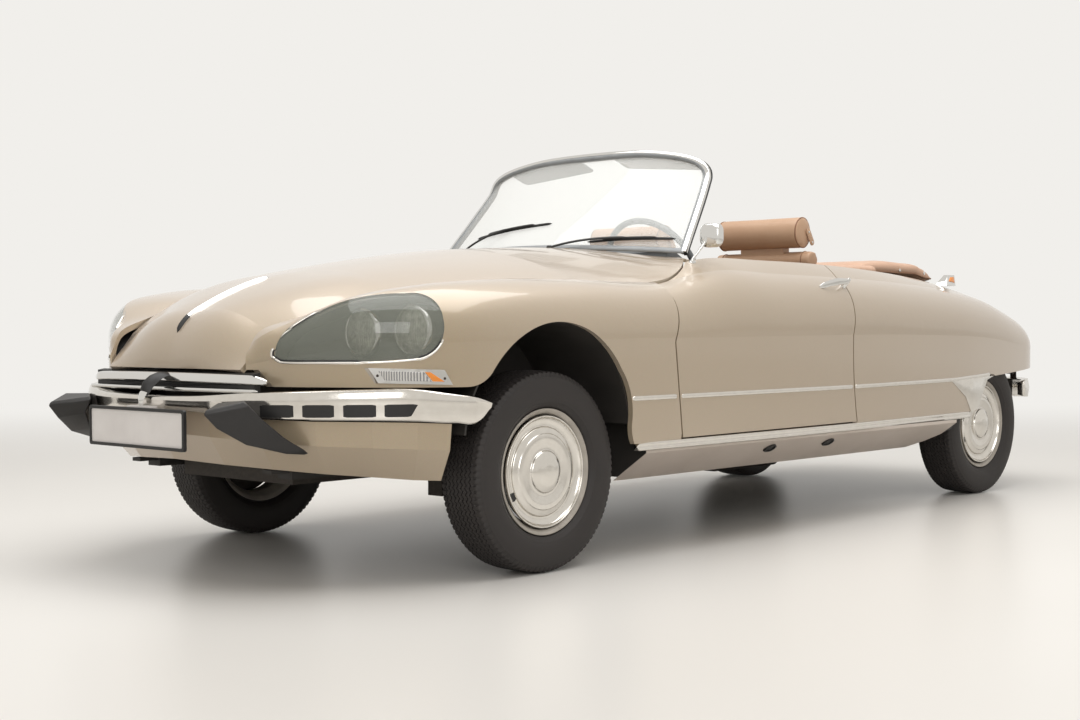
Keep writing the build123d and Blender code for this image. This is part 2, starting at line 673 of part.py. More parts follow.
def make_scuttle():
    """Panel from the bonnet's rear edge to the screen, carried on the bulkhead, with the bonnet's pins."""
    top = crowned_panel(BONNET, BONNET_RIBS, SCUTTLE_SKIN) & block(-684, 684, 600, 948, 900, 1200)
    top = top - plan_block(BONNET_PLAN, LID_SWING_GAP) - behind_screen(0, 900, 1200)
    pocket = block(BONNET_ARM_X[0] - 1, BONNET_ARM_X[1] + 1, BONNET_HINGE_S - 16, BONNET_HINGE_S + 14,
                   BONNET_HINGE_Z, BONNET_HINGE_Z + 12)
    top = top - pocket - mirrored(pocket)
    wall = block(-290, 290, 706, 718, SHELF_Z, 1098)
    shelf = block(-630, 630, 466, 790, SHELF_Z + SEAT_GAP, SHELF_Z + 12)
    bearer = block(596, 630, 780, 935, SHELF_Z + SEAT_GAP, SHELF_Z + 12)
    seat = hinge_seat(BONNET_HINGE_S, BONNET_HINGE_Z, BONNET_ARM_X, 14)
    web = block(BONNET_ARM_X[1] + SEAT_GAP, BONNET_ARM_X[1] + 7, BONNET_HINGE_S - 10, BONNET_HINGE_S + 10,
                SHELF_Z + SEAT_GAP, BONNET_HINGE_Z)
    shape = largest(top) + wall + shelf
    for piece in (seat, web, bearer):
        shape = shape + piece + mirrored(piece)
    return shape


SCUTTLE_SKIN = 12.0


def make_rear_deck():
    """Fixed panel from the hood well to the boot lid, with the lid's pins and feet on the boot floor."""
    top = crowned_panel(DECK, DECK_RIBS, SCUTTLE_SKIN) & block(-560, 560, 2830, 3020, 800, 1100)
    top = largest(top - plan_block(LID_PLAN, LID_SWING_GAP))
    seat = hinge_seat(LID_HINGE_S, LID_HINGE_Z, LID_ARM_X, 16)
    foot = block(455, 495, 2840, 2852, 560 + SEAT_GAP, 1000)
    shape = top
    for piece in (seat, foot):
        shape = shape + piece + mirrored(piece)
    return shape


def screen_wires():
    """Two closed arcs of glass, at the foot and at the header."""
    wires = []
    for run in (SCREEN_BASE, SCREEN_TOP):
        way = Vector(0, run[2][1] - run[1][1], run[2][2] - run[1][2]).normalized() * GLASS
        far = [Vector(x, Y(s), z) for x, s, z in run]
        near = [point + way for point in far]
        wires.append(Wire([Edge.make_three_point_arc(*far), Edge.make_line(far[2], near[2]),
                           Edge.make_three_point_arc(near[2], near[1], near[0]),
                           Edge.make_line(near[0], far[0])]))
    return wires


def make_screen_glass():
    return Solid.make_loft(screen_wires(), True)


def make_screen_frame():
    """Pillars and header round the screen, a bar of round section."""
    foot = SCREEN_BASE[2]
    head = SCREEN_TOP[2]
    pillar = rod((foot[0] + 13, foot[1] + 15, foot[2] - 40), (head[0] + 13, head[1] + 11, head[2] + 8), 15)
    arc = Edge.make_three_point_arc(Vector(head[0] + 13, Y(head[1] + 11), head[2] + 8),
                                    Vector(0, Y(SCREEN_TOP[1][1] + 12), SCREEN_TOP[1][2] + 16),
                                    Vector(-head[0] - 13, Y(head[1] + 11), head[2] + 8))
    start = Plane(origin=arc @ 0, z_dir=arc % 0)
    header = sweep(start * Circle(15), path=Wire([arc]))
    return pillar + mirrored(pillar) + header


# ---- cabin ----
COLUMN_RADIUS = 24.0


def steering_axis():
    """Placing of the steering wheel: its own z runs up the column to the driver."""
    x, s, z = STEERING_HUB
    return Pos(x, Y(s), z) * Rot(-(90 - STEERING_RAKE), 0, 0)


def make_dashboard():
    """Padded shelf behind the screen's foot, open round the steering column."""
    foot = SHELF_Z + 12 + SEAT_GAP
    outline = [(760, foot), (760, 1050), (960, 1096), (1030, 1060), (1010, 980), (900, 930), (792, foot)]
    shelf = plate(outline, -590, 590)
    shelf = shelf & behind_screen(14, 900, 1200)
    shelf = shelf - plan_block(BONNET_PLAN, 20)
    return shelf - steering_axis() * Pos(0, 0, -200) * Cylinder(COLUMN_RADIUS + SEAT_GAP, 400)


def make_front_seat(x):
    """Cushion, leaning back and roll headrest."""
    cushion = Pos(x, Y(1500), 560) * Box(520, 540, 150)
    back = plate([(1700, 560), (1800, 560), (1930, 1100), (1850, 1110)], x - 250, x + 250)
    roll = rod((x - 215, 1868, 1196), (x + 215, 1868, 1196), 66)
    neck = block(x - 120, x + 120, 1850, 1910, 1090, 1150)
    base = block(x - 220, x + 220, 1280, 1720, FLOOR_Z + FLOOR_THICKNESS + SEAT_GAP, 486)
    return fillet(cushion.edges(), 30) + back + roll + neck + base


def make_rear_seat():
    cushion = block(-560, 560, 1960, 2280, FLOOR_Z + FLOOR_THICKNESS + SEAT_GAP, 600)
    back = plate([(2180, 590), (2280, 590), (2300, 1030), (2290, 1070), (2230, 1070)], -560, 560)
    return cushion + back


HOOD_COVER = [(2312, 1022), (2340, 1074), (2560, 1088), (2800, 1078), (2900, 1048), (2940, 1026),
              (2950, 1000), (2826, 1000), (2822, 1022)]


def make_hood_cover():
    """Folded hood under its cover, lying on the rear deck."""
    return largest(plate(HOOD_COVER, -590, 590) - crowned_panel(DECK, DECK_RIBS, 60, -SEAT_GAP))


def make_steering_wheel():
    """Rim, single spoke and column of the steering wheel, made flat and then tilted."""
    rim = Solid.make_torus(STEERING_WHEEL_RADIUS, 13)
    spoke = Pos(0, -STEERING_WHEEL_RADIUS / 2, -14) * Box(26, STEERING_WHEEL_RADIUS, 22)
    column = Solid.make_cylinder(COLUMN_RADIUS, 160, Plane(origin=(0, 0, -170)))
    return steering_axis() * (rim + spoke + column)


# ---- engine, arms, axles and wheels ----
KINGPIN_RADIUS = 18.0
ARM_RADIUS = 16.0
ARM_LOW_Z = 244.0
ARM_HIGH_Z = 436.0


def make_front_arms():
    """Arms from the rails and towers into the wheels, two a side, above and below the pivot."""
    pieces = []
    x = FRONT_TRACK / 2
    for side in (1, -1):
        pad = block(side * 365 - 34, side * 365 + 34, -60, 60, ARM_LOW_Z - 20, 330 - SEAT_GAP)
        low = rod((side * 365, 0, ARM_LOW_Z), (side * (x + ARM_RADIUS), 0, ARM_LOW_Z), ARM_RADIUS)
        root = side * (470 + SEAT_GAP)
        high = rod((root, 0, ARM_HIGH_Z), (side * (x + ARM_RADIUS), 0, ARM_HIGH_Z), ARM_RADIUS)
        pieces += [pad + low, high]
    return pieces


def make_knuckle(side):
    """Pivot post in the wheel's middle plane with the stub that carries the wheel."""
    x = side * FRONT_TRACK / 2
    inset = ARM_RADIUS + SEAT_GAP
    post = rod((x, 0, ARM_LOW_Z + inset), (x, 0, ARM_HIGH_Z - inset), KINGPIN_RADIUS)
    return post + rod((x, 0, TYRE_RADIUS), (x + side * STUB_REACH, 0, TYRE_RADIUS), STUB_RADIUS)


def make_rear_arms():
    """Trailing arms with the stubs of the rear wheels, on a cross tube between the rails."""
    pieces = [rod((-440 + SEAT_GAP, 2640, 420), (440 - SEAT_GAP, 2640, 420), 36)]
    for side in (1, -1):
        near, far = side * (500 + SEAT_GAP), side * 545
        arm = plate([(2600, 380), (2600, 460), (2690, 460), (3165, 370), (3165, 290)],
                    min(near, far), max(near, far))
        tip = side * (REAR_TRACK / 2 + STUB_REACH)
        stub = rod((side * 540, WHEELBASE, TYRE_RADIUS), (tip, WHEELBASE, TYRE_RADIUS), STUB_RADIUS)
        pieces.append(arm + stub)
    return pieces


def make_tyre():
    """Tyre about the x axis: rounded shoulders, sides and beads."""
    half = TYRE_WIDTH / 2
    tread = TREAD_WIDTH / 2
    shoulder = TYRE_RADIUS - 16
    belly = (TYRE_RADIUS + BEAD_RADIUS) / 2
    foot = RIM_WIDTH / 2 - 5 - SEAT_GAP
    right = [(tread, TYRE_RADIUS), (half - 6, shoulder - 6), (half, belly), (half - 6, belly - 34),
             (foot, FLANGE_RADIUS + 3), (foot, BEAD_RADIUS)]
    left = [(-x, r) for x, r in reversed(right)]
    face = make_face(Polyline(*(right + left), close=True))
    return revolve(face, Axis.X)


def make_wheel():
    """Drop rim, disc, hub bore and domed stainless cap about the x axis, outside towards +x."""
    lip = RIM_WIDTH / 2
    seat = BEAD_RADIUS - SEAT_GAP
    rim = [(-lip, FLANGE_RADIUS - 2), (-lip, seat - 8), (-lip + 30, seat - 22), (lip - 40, seat - 22),
           (lip - 8, seat - 8), (lip - 8, FLANGE_RADIUS - 12), (lip + 4, FLANGE_RADIUS),
           (lip + 5, FLANGE_RADIUS - 4),
           (lip - 5, FLANGE_RADIUS - 14), (lip - 5, seat), (-lip + 5, seat), (-lip + 5, FLANGE_RADIUS - 2)]
    ring = revolve(make_face(Polyline(*rim, close=True)), Axis.X)
    cap = [(30, STUB_RADIUS + BORE_GAP), (30, 90), (52, 140), (44, seat - 12), (52, seat - 9),
           (66, CAP_RADIUS - 30), (58, 146), (64, 125), (60, CAP_DOME_RADIUS + 12), (66, CAP_DOME_RADIUS),
           (80, CAP_DOME_RADIUS - 22), (86, 0), (50, 0), (50, STUB_RADIUS + BORE_GAP)]
    disc = revolve(make_face(Polyline(*cap, close=True)), Axis.X)
    hub = [(24, STUB_RADIUS + BORE_GAP), (24, HUB_RADIUS), (40, HUB_RADIUS), (40, STUB_RADIUS + BORE_GAP)]
    boss = revolve(make_face(Polyline(*hub, close=True)), Axis.X)
    return ring + disc + boss


def make_engine():
    """Engine and gearbox as one block, hung on four bearers that reach the rails."""
    mass = block(-300, 300, -620, 380, 300, 790)
    for s in (-500, 200):
        mass = mass + block(-330 + SEAT_GAP, 330 - SEAT_GAP, s, s + 60, 350, 400)
    return mass


def make_exhaust():
    tank = fillet(block(-110, 110, 1900, 2350, 150, FLOOR_Z - SEAT_GAP).edges().filter_by(Axis.Y), 30)
    pipe = rod((0, 480, 240), (0, 1900, 240), 24)
    return tank + pipe


def make_wipers():
    """Two arms and blades parked low on the glass."""
    pieces = []
    panel = crowned_panel(BONNET, BONNET_RIBS, 60, -SEAT_GAP)
    for foot, tip in (((-420, 776), (-120, 722)), ((120, 706), (420, 792))):
        boss = rod((*foot, 1070), (*foot, 1126), 10)
        pieces.append(largest((boss + rod((*foot, 1120), (*tip, 1126), 5)) - panel))
    return pieces


def make_mirror():
    """Round-ended mirror head on a raked stalk with a foot on the door's shoulder."""
    head = block(705, 800, 975, 1010, 1093, 1185)
    head = fillet(head.edges().filter_by(Axis.Y), 30)
    stalk = rod((708, 934, 1030), (745, 985, 1130), 7)
    foot = rod((704, 928, 1032), (712, 944, 1058), 15)
    return largest((head + stalk + foot) - side_panel(DOOR_ROWS, 90, -SEAT_GAP))


def make_front_indicator():
    """Bright housing with an amber end, under the headlamp."""
    side = side_panel(FRONT_ROWS, 16, -12)
    outline = plate([(-657, 682), (-472, 674), (-447, 628), (-636, 636)], 600, 950)
    return largest(side & outline)


def make_arch(s, z, radius, inner_x, rows, low_z):
    """Wheel housing: half tube and inner wall, out to the wing's inner face."""
    axle = ((inner_x, s, z), (950, s, z))
    tube = rod(*axle, radius + 6) - rod(*axle, radius)
    wall = rod(axle[0], (inner_x + 6, s, z), radius + 6)
    keep = block(inner_x, 950, s - radius - 10, s + radius + 10, low_z, z + radius + 10)
    return largest(((tube + wall) & keep) - side_panel(rows, 140 + SKIN + SEAT_GAP, -140))


def make_guard(wing):
    """Stainless S-shaped guard on the rear wing's lower front corner."""
    outline = plate([(2640, 552), (3117, 556), (3040, 540), (2990, 480), (2950, 410), (2868, 395),
                     (2800, 470)],
                    700, 900)
    return largest((side_panel(REAR_ROWS, 2, -2 - SEAT_GAP) & outline) - wing)


panels = {"front_wing": make_front_wing(), "rear_wing": make_rear_wing(), "door": make_door_skin()}
for name, panel in panels.items():
    save(f"{name}_left", panel)
    save(f"{name}_right", mirrored(panel))

frame = make_door_frame()
save("door_frame_left", *frame)
save("door_frame_right", *[mirrored(piece) for piece in frame])

cover = make_lamp_cover()
save("lamp_covers", cover, mirrored(cover))
pan = make_lamp_pan(panels["front_wing"])
save("lamp_pans", pan, mirrored(pan))
lamps = [make_headlamp(*lamp) for lamp in LAMPS]
save("headlamps", *lamps, *[mirrored(lamp) for lamp in lamps])

for name, make in {
    "bonnet": make_bonnet, "boot_lid": make_boot_lid, "front_bumper": make_front_bumper,
    "front_valance": make_valance, "front_grille": make_grille, "front_plate": make_plate_front,
    "rear_bumper": make_rear_bumper, "tail_panel": make_tail_panel, "platform": make_platform,
    "scuttle": make_scuttle, "windscreen_glass": make_screen_glass, "windscreen_frame": make_screen_frame,
    "dashboard": make_dashboard, "rear_seat": make_rear_seat, "hood_cover": make_hood_cover,
    "steering_wheel": make_steering_wheel, "exhaust": make_exhaust,
    "door_mirror": make_mirror, "rear_deck": make_rear_deck,
}.items():
    save(name, make())

pairs = {
    "overriders": make_overrider(),
    "tail_lamps": make_tail_lamp(panels["rear_wing"]),
    "rear_indicators": make_rear_indicator(panels["rear_wing"]),
    "front_indicators": largest(make_front_indicator() - panels["front_wing"]),
    "front_arches": largest(make_arch(-5, 447, 374, 474, FRONT_ROWS, 470) - bumper_bar(SEAT_GAP)),
    "rear_arches": make_arch(WHEELBASE, TYRE_RADIUS, 374, 508, REAR_ROWS, 556),
    "rear_guards": make_guard(panels["rear_wing"]),
}
for name, piece in pairs.items():
    save(name, piece, mirrored(piece))

save("front_arms", *make_front_arms())
save("rear_arms", *make_rear_arms())
save("wipers", *make_wipers())
save("engine", make_engine())
for side, word in ((1, "left"), (-1, "right")):
    save(f"front_seat_{word}", make_front_seat(side * 345))
    save(f"knuckle_{word}", make_knuckle(side))
tyre = make_tyre()
wheel = make_wheel()
for end, axle_y, track in (("front", FRONT_AXLE_Y, FRONT_TRACK), ("rear", REAR_AXLE_Y, REAR_TRACK)):
    for side, word in ((1, "left"), (-1, "right")):
        turn = Rot(0, 0, 0 if side > 0 else 180)
        place = Pos(side * track / 2, axle_y, TYRE_RADIUS)
        save(f"tyre_{end}_{word}", place * turn * tyre)
        save(f"wheel_{end}_{word}", place * turn * wheel)
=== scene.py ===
"""Large two-door cabriolet with its hood folded away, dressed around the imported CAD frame.

Everything is in metres in the frame of the CAD part: +X is the car's left, the nose points to
-Y and the wheels stand on z = 0. Sections follow the car as it is put together.
"""
import math

import bmesh
import bpy
import numpy as np
from mathutils import Matrix, Vector
from mathutils.bvhtree import BVHTree


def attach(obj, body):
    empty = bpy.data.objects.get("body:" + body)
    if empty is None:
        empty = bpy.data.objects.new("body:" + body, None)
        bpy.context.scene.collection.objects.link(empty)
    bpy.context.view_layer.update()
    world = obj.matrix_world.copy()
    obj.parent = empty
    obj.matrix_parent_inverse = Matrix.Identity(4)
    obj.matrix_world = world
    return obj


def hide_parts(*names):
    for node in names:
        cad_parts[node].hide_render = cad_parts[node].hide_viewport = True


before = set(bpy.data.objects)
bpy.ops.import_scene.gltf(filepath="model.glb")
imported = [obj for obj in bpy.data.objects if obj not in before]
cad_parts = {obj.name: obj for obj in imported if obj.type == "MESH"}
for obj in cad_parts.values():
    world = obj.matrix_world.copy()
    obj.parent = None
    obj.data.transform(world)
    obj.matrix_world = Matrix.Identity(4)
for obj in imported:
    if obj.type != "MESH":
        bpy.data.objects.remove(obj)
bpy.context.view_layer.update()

# ---- Studio -------------------------------------------------------------------------------
# A plain pale floor that sweeps up into the background, lit by large soft lamps overhead.
# Camera rays and mirror rays see the sweep nearly white, so chrome and glass show it too.
FRONT_AXLE_Y = -1.377
SIDES = ((1, "left"), (-1, "right"))


def linear(code, alpha=1.0):
    """sRGB hex to a linear colour: each channel c becomes ((c + 0.055) / 1.055) ** 2.4."""
    channels = [int(code[i:i + 2], 16) / 255 for i in (1, 3, 5)]
    return tuple(((c + 0.055) / 1.055) ** 2.4 if c > 0.04045 else c / 12.92
                 for c in channels) + (alpha,)


def add(tree, kind, settings=None, **inputs):
    """Adds one node; an input given as a socket is linked, and any other value is set."""
    node = tree.nodes.new(kind)
    for key, value in (settings or {}).items():
        setattr(node, key, value)
    for key, value in inputs.items():
        socket = node.inputs[int(key[1:])] if key[1:].isdigit() else node.inputs[key.replace("_", " ")]
        if isinstance(value, bpy.types.NodeSocket):
            tree.links.new(value, socket)
        else:
            socket.default_value = value
    return node


def blank_material(name):
    """An empty node material and its tree, output node ready."""
    material = bpy.data.materials.new(name)
    material.use_nodes = True
    tree = material.node_tree
    tree.nodes.clear()
    return material, tree, tree.nodes.new("ShaderNodeOutputMaterial")


scene = bpy.context.scene
scene.view_settings.view_transform = "Standard"
CAMERA_AT, LENS = (4.355, -5.147, 0.813), 52.93
YAW, PITCH, ROLL = math.radians(-43.26), math.radians(-1.32), math.radians(-0.3)

camera_data = bpy.data.cameras.new("studio_camera")
camera_data.lens, camera_data.sensor_width = LENS, 36.0
camera = bpy.data.objects.new("studio_camera", camera_data)
scene.collection.objects.link(camera)
scene.camera = camera
forward = Vector((math.sin(YAW) * math.cos(PITCH), math.cos(YAW) * math.cos(PITCH), math.sin(PITCH)))
level = Vector((math.cos(YAW), -math.sin(YAW), 0))
upright = level.cross(forward)
right = level * math.cos(ROLL) + upright * math.sin(ROLL)
top = upright * math.cos(ROLL) - level * math.sin(ROLL)
camera.matrix_world = Matrix.Translation(CAMERA_AT) @ Matrix((right, top, -forward)).transposed().to_4x4()

floor_material, tree, out = blank_material("studio_floor_paint")
# Matt floor paint: nearly white, with a faint gloss that mirrors the tyres softly.
place = add(tree, "ShaderNodeTexCoord").outputs["Object"]
cloud = add(tree, "ShaderNodeTexNoise", Vector=place, Scale=0.35, Detail=2.0)
tone = add(tree, "ShaderNodeMixRGB", Fac=cloud.outputs["Fac"], Color1=linear("#DEDBD6"),
           Color2=linear("#E9E6E1"))
paint = add(tree, "ShaderNodeBsdfPrincipled", Base_Color=tone.outputs["Color"], Roughness=0.32)
# Rays that can see it take the far floor and the raised part as lit evenly, up to nearly white.
path = add(tree, "ShaderNodeLightPath").outputs
seen = add(tree, "ShaderNodeMath", {"operation": "MAXIMUM"}, _0=path["Is Camera Ray"],
           _1=path["Is Glossy Ray"])
seen = add(tree, "ShaderNodeMath", {"operation": "MAXIMUM"}, _0=seen.outputs[0],
           _1=path["Is Transmission Ray"])
depth = add(tree, "ShaderNodeVectorMath", {"operation": "DOT_PRODUCT"}, _0=place, _1=(-0.685, 0.728, 0.0))
lifted = add(tree, "ShaderNodeMapRange", {"interpolation_type": "SMOOTHSTEP"}, Value=depth.outputs["Value"],
             From_Min=1.0, From_Max=9.0)
share = add(tree, "ShaderNodeMath", {"operation": "MULTIPLY"}, _0=seen.outputs[0], _1=lifted.outputs[0])
glow = add(tree, "ShaderNodeEmission", Color=linear("#F1EFEB"), Strength=1.0)
mixed = add(tree, "ShaderNodeMixShader", _0=share.outputs[0], _1=paint.outputs["BSDF"], _2=glow.outputs[0])
tree.links.new(mixed.outputs[0], out.inputs["Surface"])

# the sweep's outline in (distance along the view, height): floor, quarter round, wall
along = np.array([-14.0, 0.0, 6.0, 10.0])
bend = np.linspace(0, np.pi / 2, 13)
run = np.concatenate([along, 12.0 + 3.0 * np.sin(bend), [15.0]])
rise = np.concatenate([np.zeros(4), 3.0 * (1 - np.cos(bend)), [14.0]])
across = np.array([-24.0, 24.0])
ahead = np.array([math.sin(YAW), math.cos(YAW)])
side = np.array([ahead[1], -ahead[0]])
points = (run[:, None, None] * np.append(ahead, 0) + across[None, :, None] * np.append(side, 0)
          + rise[:, None, None] * np.array([0, 0, 1.0]))
rows = np.arange(len(run) - 1)
faces = np.stack([rows * 2, rows * 2 + 1, rows * 2 + 3, rows * 2 + 2], 1)
sweep_mesh = bpy.data.meshes.new("studio_sweep")
sweep_mesh.from_pydata(points.reshape(-1, 3).tolist(), [], faces.tolist())
sweep_mesh.materials.append(floor_material)
sweep_mesh.polygons.foreach_set("use_smooth", [True] * len(faces))
sweep = bpy.data.objects.new("studio_sweep", sweep_mesh)
scene.collection.objects.link(sweep)

world = bpy.data.worlds.new("studio_light")
scene.world = world
world.use_nodes = True
tree = world.node_tree
tree.nodes.clear()
path = add(tree, "ShaderNodeLightPath").outputs
seen = add(tree, "ShaderNodeMath", {"operation": "MAXIMUM"}, _0=path["Is Camera Ray"],
           _1=path["Is Glossy Ray"])
seen = add(tree, "ShaderNodeMath", {"operation": "MAXIMUM"}, _0=seen.outputs[0],
           _1=path["Is Transmission Ray"])
strength = add(tree, "ShaderNodeMapRange", Value=seen.outputs[0], To_Min=0.62, To_Max=0.92)
light = add(tree, "ShaderNodeBackground", Color=linear("#F6F2EC"), Strength=strength.outputs[0])
tree.links.new(light.outputs[0], add(tree, "ShaderNodeOutputWorld").inputs["Surface"])


def soft_lamp(name, at, aim, size, watts):
    """A square area lamp of that size at a point, turned to face another."""
    data = bpy.data.lights.new(name, "AREA")
    data.shape, data.size, data.energy = "SQUARE", size, watts
    lamp = bpy.data.objects.new(name, data)
    lamp.matrix_world = Matrix.Translation(at) @ (Vector(aim)
                                                  - Vector(at)).to_track_quat("-Z", "Y").to_matrix().to_4x4()
    scene.collection.objects.link(lamp)


soft_lamp("lamp_overhead", (0.6, -0.6, 5.2), (0, 0, 0.4), 5.5, 260)
soft_lamp("lamp_front_left", (6.0, -6.5, 3.4), (0, -0.3, 0.5), 3.5, 120)

# ---- Platform and running gear ------------------------------------------------------------
# Pressed-steel platform with box sills, sprayed with satin black chassis paint; the arms,
# knuckles and exhaust are forged or cast iron, and the arches are dull underseal.


def finish(name, tones, pattern, rough, grain=None, kind="Noise", channel="Fac", settings=None, **more):
    """A material whose one texture, read in object space, mixes two tones or tints none, and gives relief.

    pattern and more hold inputs of the texture and of the shader. rough is one value, or a range that
    follows the texture. grain is a fine relief's (scale, strength, distance); no scale is the texture.
    """
    material, tree, out = blank_material(name)
    place = add(tree, "ShaderNodeTexCoord").outputs["Object"]
    texture = add(tree, f"ShaderNodeTex{kind}", settings, Vector=place, **pattern).outputs[channel]
    colour = linear(tones[0])
    if len(tones) > 1:
        mixed = add(tree, "ShaderNodeMixRGB", Fac=texture, Color1=colour, Color2=linear(tones[1]))
        colour = mixed.outputs["Color"]
    if isinstance(rough, tuple):
        spread = add(tree, "ShaderNodeMapRange", Value=texture, To_Min=rough[0], To_Max=rough[1])
        rough = spread.outputs[0]
    if grain:
        scale, strength, distance = grain
        height = texture if scale is None else add(tree, "ShaderNodeTexNoise", Vector=place,
                                                   Scale=scale).outputs["Fac"]
        more["Normal"] = add(tree, "ShaderNodeBump", Height=height, Strength=strength,
                             Distance=distance).outputs["Normal"]
    shader = add(tree, "ShaderNodeBsdfPrincipled", Base_Color=colour, Roughness=rough, **more)
    tree.links.new(shader.outputs["BSDF"], out.inputs["Surface"])
    return material


# Satin enamel over seam sealer: dark, slightly dusty on its upward faces.
chassis_black = finish("satin_chassis_paint", ("#1B1A19", "#34302C"),
                       dict(Scale=9.0, Detail=5.0, Roughness=0.6), (0.45, 0.75),
                       grain=(420.0, 0.25, 0.0006))

# Cast iron under road film: brown-grey, rough, darker in the hollows of the casting skin.
cast_iron = finish("road_grimed_cast_iron", ("#262320", "#4B443D"),
                   dict(Scale=60.0, Detail=6.0, Roughness=0.7), 0.62, grain=(None, 0.5, 0.0015),
                   Metallic=0.35)


def dress(material, *names):
    """Gives CAD nodes one finish in place of the one they were packed with."""
    for name in names:
        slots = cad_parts[name].data.materials
        slots.clear()
        slots.append(material)


dress(chassis_black, "platform", "front_arches", "rear_arches")
dress(cast_iron, "front_arms", "rear_arms", "exhaust", "engine", "knuckle_left", "knuckle_right")

# ---- Painted panels -----------------------------------------------------------------------
# Steel wings, doors and scuttle with an aluminium bonnet and boot lid, all in one metallic
# beige lacquer; each bolts to the platform and meets its neighbours at a 6 mm shut line.
lacquer, tree, out = blank_material("metallic_beige_lacquer")
# Base coat with aluminium flake under clear lacquer: the flake is 0.1 mm and is drawn at
# 0.8 mm, so that it shows as a slight sparkle; the clear coat gives the sharp highlight.
place = add(tree, "ShaderNodeTexCoord").outputs["Object"]
flake = add(tree, "ShaderNodeTexVoronoi", Vector=place, Scale=1250.0)
drift = add(tree, "ShaderNodeTexNoise", Vector=place, Scale=1.6, Detail=2.0)
base = add(tree, "ShaderNodeMixRGB", Fac=drift.outputs["Fac"], Color1=linear("#A29279"),
           Color2=linear("#AB9B82"))
fleck = add(tree, "ShaderNodeMixRGB", {"blend_type": "OVERLAY"}, Fac=0.10, Color1=base.outputs["Color"],
            Color2=flake.outputs["Color"])
# Painted sheen: towards grazing angles the base colour is mixed up to a paler beige, a painted highlight
# along the panels' turning edges.
edge = add(tree, "ShaderNodeLayerWeight", Blend=0.35)
tone = add(tree, "ShaderNodeMixRGB", Fac=edge.outputs["Facing"], Color1=fleck.outputs["Color"],
           Color2=linear("#CBBDB0"))
shader = add(tree, "ShaderNodeBsdfPrincipled", Base_Color=tone.outputs["Color"], Metallic=0.30,
             Roughness=0.36)
shader.inputs["Coat Weight"].default_value = 0.8
shader.inputs["Coat Roughness"].default_value = 0.06
tree.links.new(shader.outputs["BSDF"], out.inputs["Surface"])
PANELS = ["front_wing_left", "front_wing_right", "rear_wing_left", "rear_wing_right", "door_left",
          "door_right", "bonnet", "boot_lid", "scuttle", "rear_deck", "front_valance", "tail_panel"]
dress(lacquer, *PANELS)

# ---- Tyres --------------------------------------------------------------------------------
# Radial tyres of 185 mm section in carbon-black rubber. The moulded tread has zigzag ribs,
# an outer row of rounded blocks on each shoulder, and fine moulding rings on the sidewall.
TYRE_RADIUS, TREAD_HALF, SECTION_HALF, BEAD_RADIUS = 0.330, 0.072, 0.092, 0.193
GROOVE_DEPTH, RIB_GAP, WAVES, WAVE_REACH = 0.0065, 0.0028, 96, 0.0046

# Carbon-black rubber, slightly brown and greyed by road dust; scuffed, never shiny.
tyre_rubber = finish("moulded_tyre_rubber", ("#1A1716", "#322D2B"),
                     dict(Scale=14.0, Detail=6.0, Roughness=0.65), (0.5, 0.78), grain=(700.0, 0.3, 0.0004))


def shaded(name, mesh, material):
    """An object of a mesh in one material, smooth all over."""
    mesh.materials.clear()
    mesh.materials.append(material)
    mesh.polygons.foreach_set("use_smooth", [True] * len(mesh.polygons))
    made = bpy.data.objects.new(name, mesh)
    scene.collection.objects.link(made)
    return made


def piece(name, points, faces, material, body, sharp=40.0):
    """One mesh riding on a CAD body: doubles merged, faces turned outwards, smooth under that angle."""
    mesh = bpy.data.meshes.new(name)
    mesh.from_pydata(np.asarray(points, float).reshape(-1, 3).tolist(), [], [list(face) for face in faces])
    work = bmesh.new()
    work.from_mesh(mesh)
    bmesh.ops.remove_doubles(work, verts=work.verts, dist=2e-6)
    bmesh.ops.recalc_face_normals(work, faces=work.faces)
    work.to_mesh(mesh)
    work.free()
    made = shaded(name, mesh, material)
    mesh.set_sharp_from_angle(angle=math.radians(sharp))
    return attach(made, body)


def grid_faces(rows, columns, round_rows=False, round_columns=False):
    """Quads over a grid numbered row by row; a round direction joins its last line to its first."""
    i = np.arange(rows if round_rows else rows - 1)[:, None]
    j = np.arange(columns if round_columns else columns - 1)[None, :]
    after, beside = (i + 1) % rows, (j + 1) % columns
    return np.stack([i * columns + j, i * columns + beside, after * columns + beside, after * columns + j],
                    -1).reshape(-1, 4).tolist()


def circle(count):
    """Points (cos a, sin a) at count even angles."""
    angle = np.linspace(0, 2 * np.pi, count, endpoint=False)
    return np.stack([np.cos(angle), np.sin(angle)], 1)


def turned(profile, turns):
    """Profile (x, r) turned about the x axis: point (i, j) is (x, r sin a, r cos a) at angle a of row i."""
    angle = np.linspace(0, 2 * np.pi, turns, endpoint=False)[:, None]
    x, r = np.asarray(profile, float).T
    return np.stack([np.broadcast_to(x, (turns, len(x))), r * np.sin(angle), r * np.cos(angle)], -1)


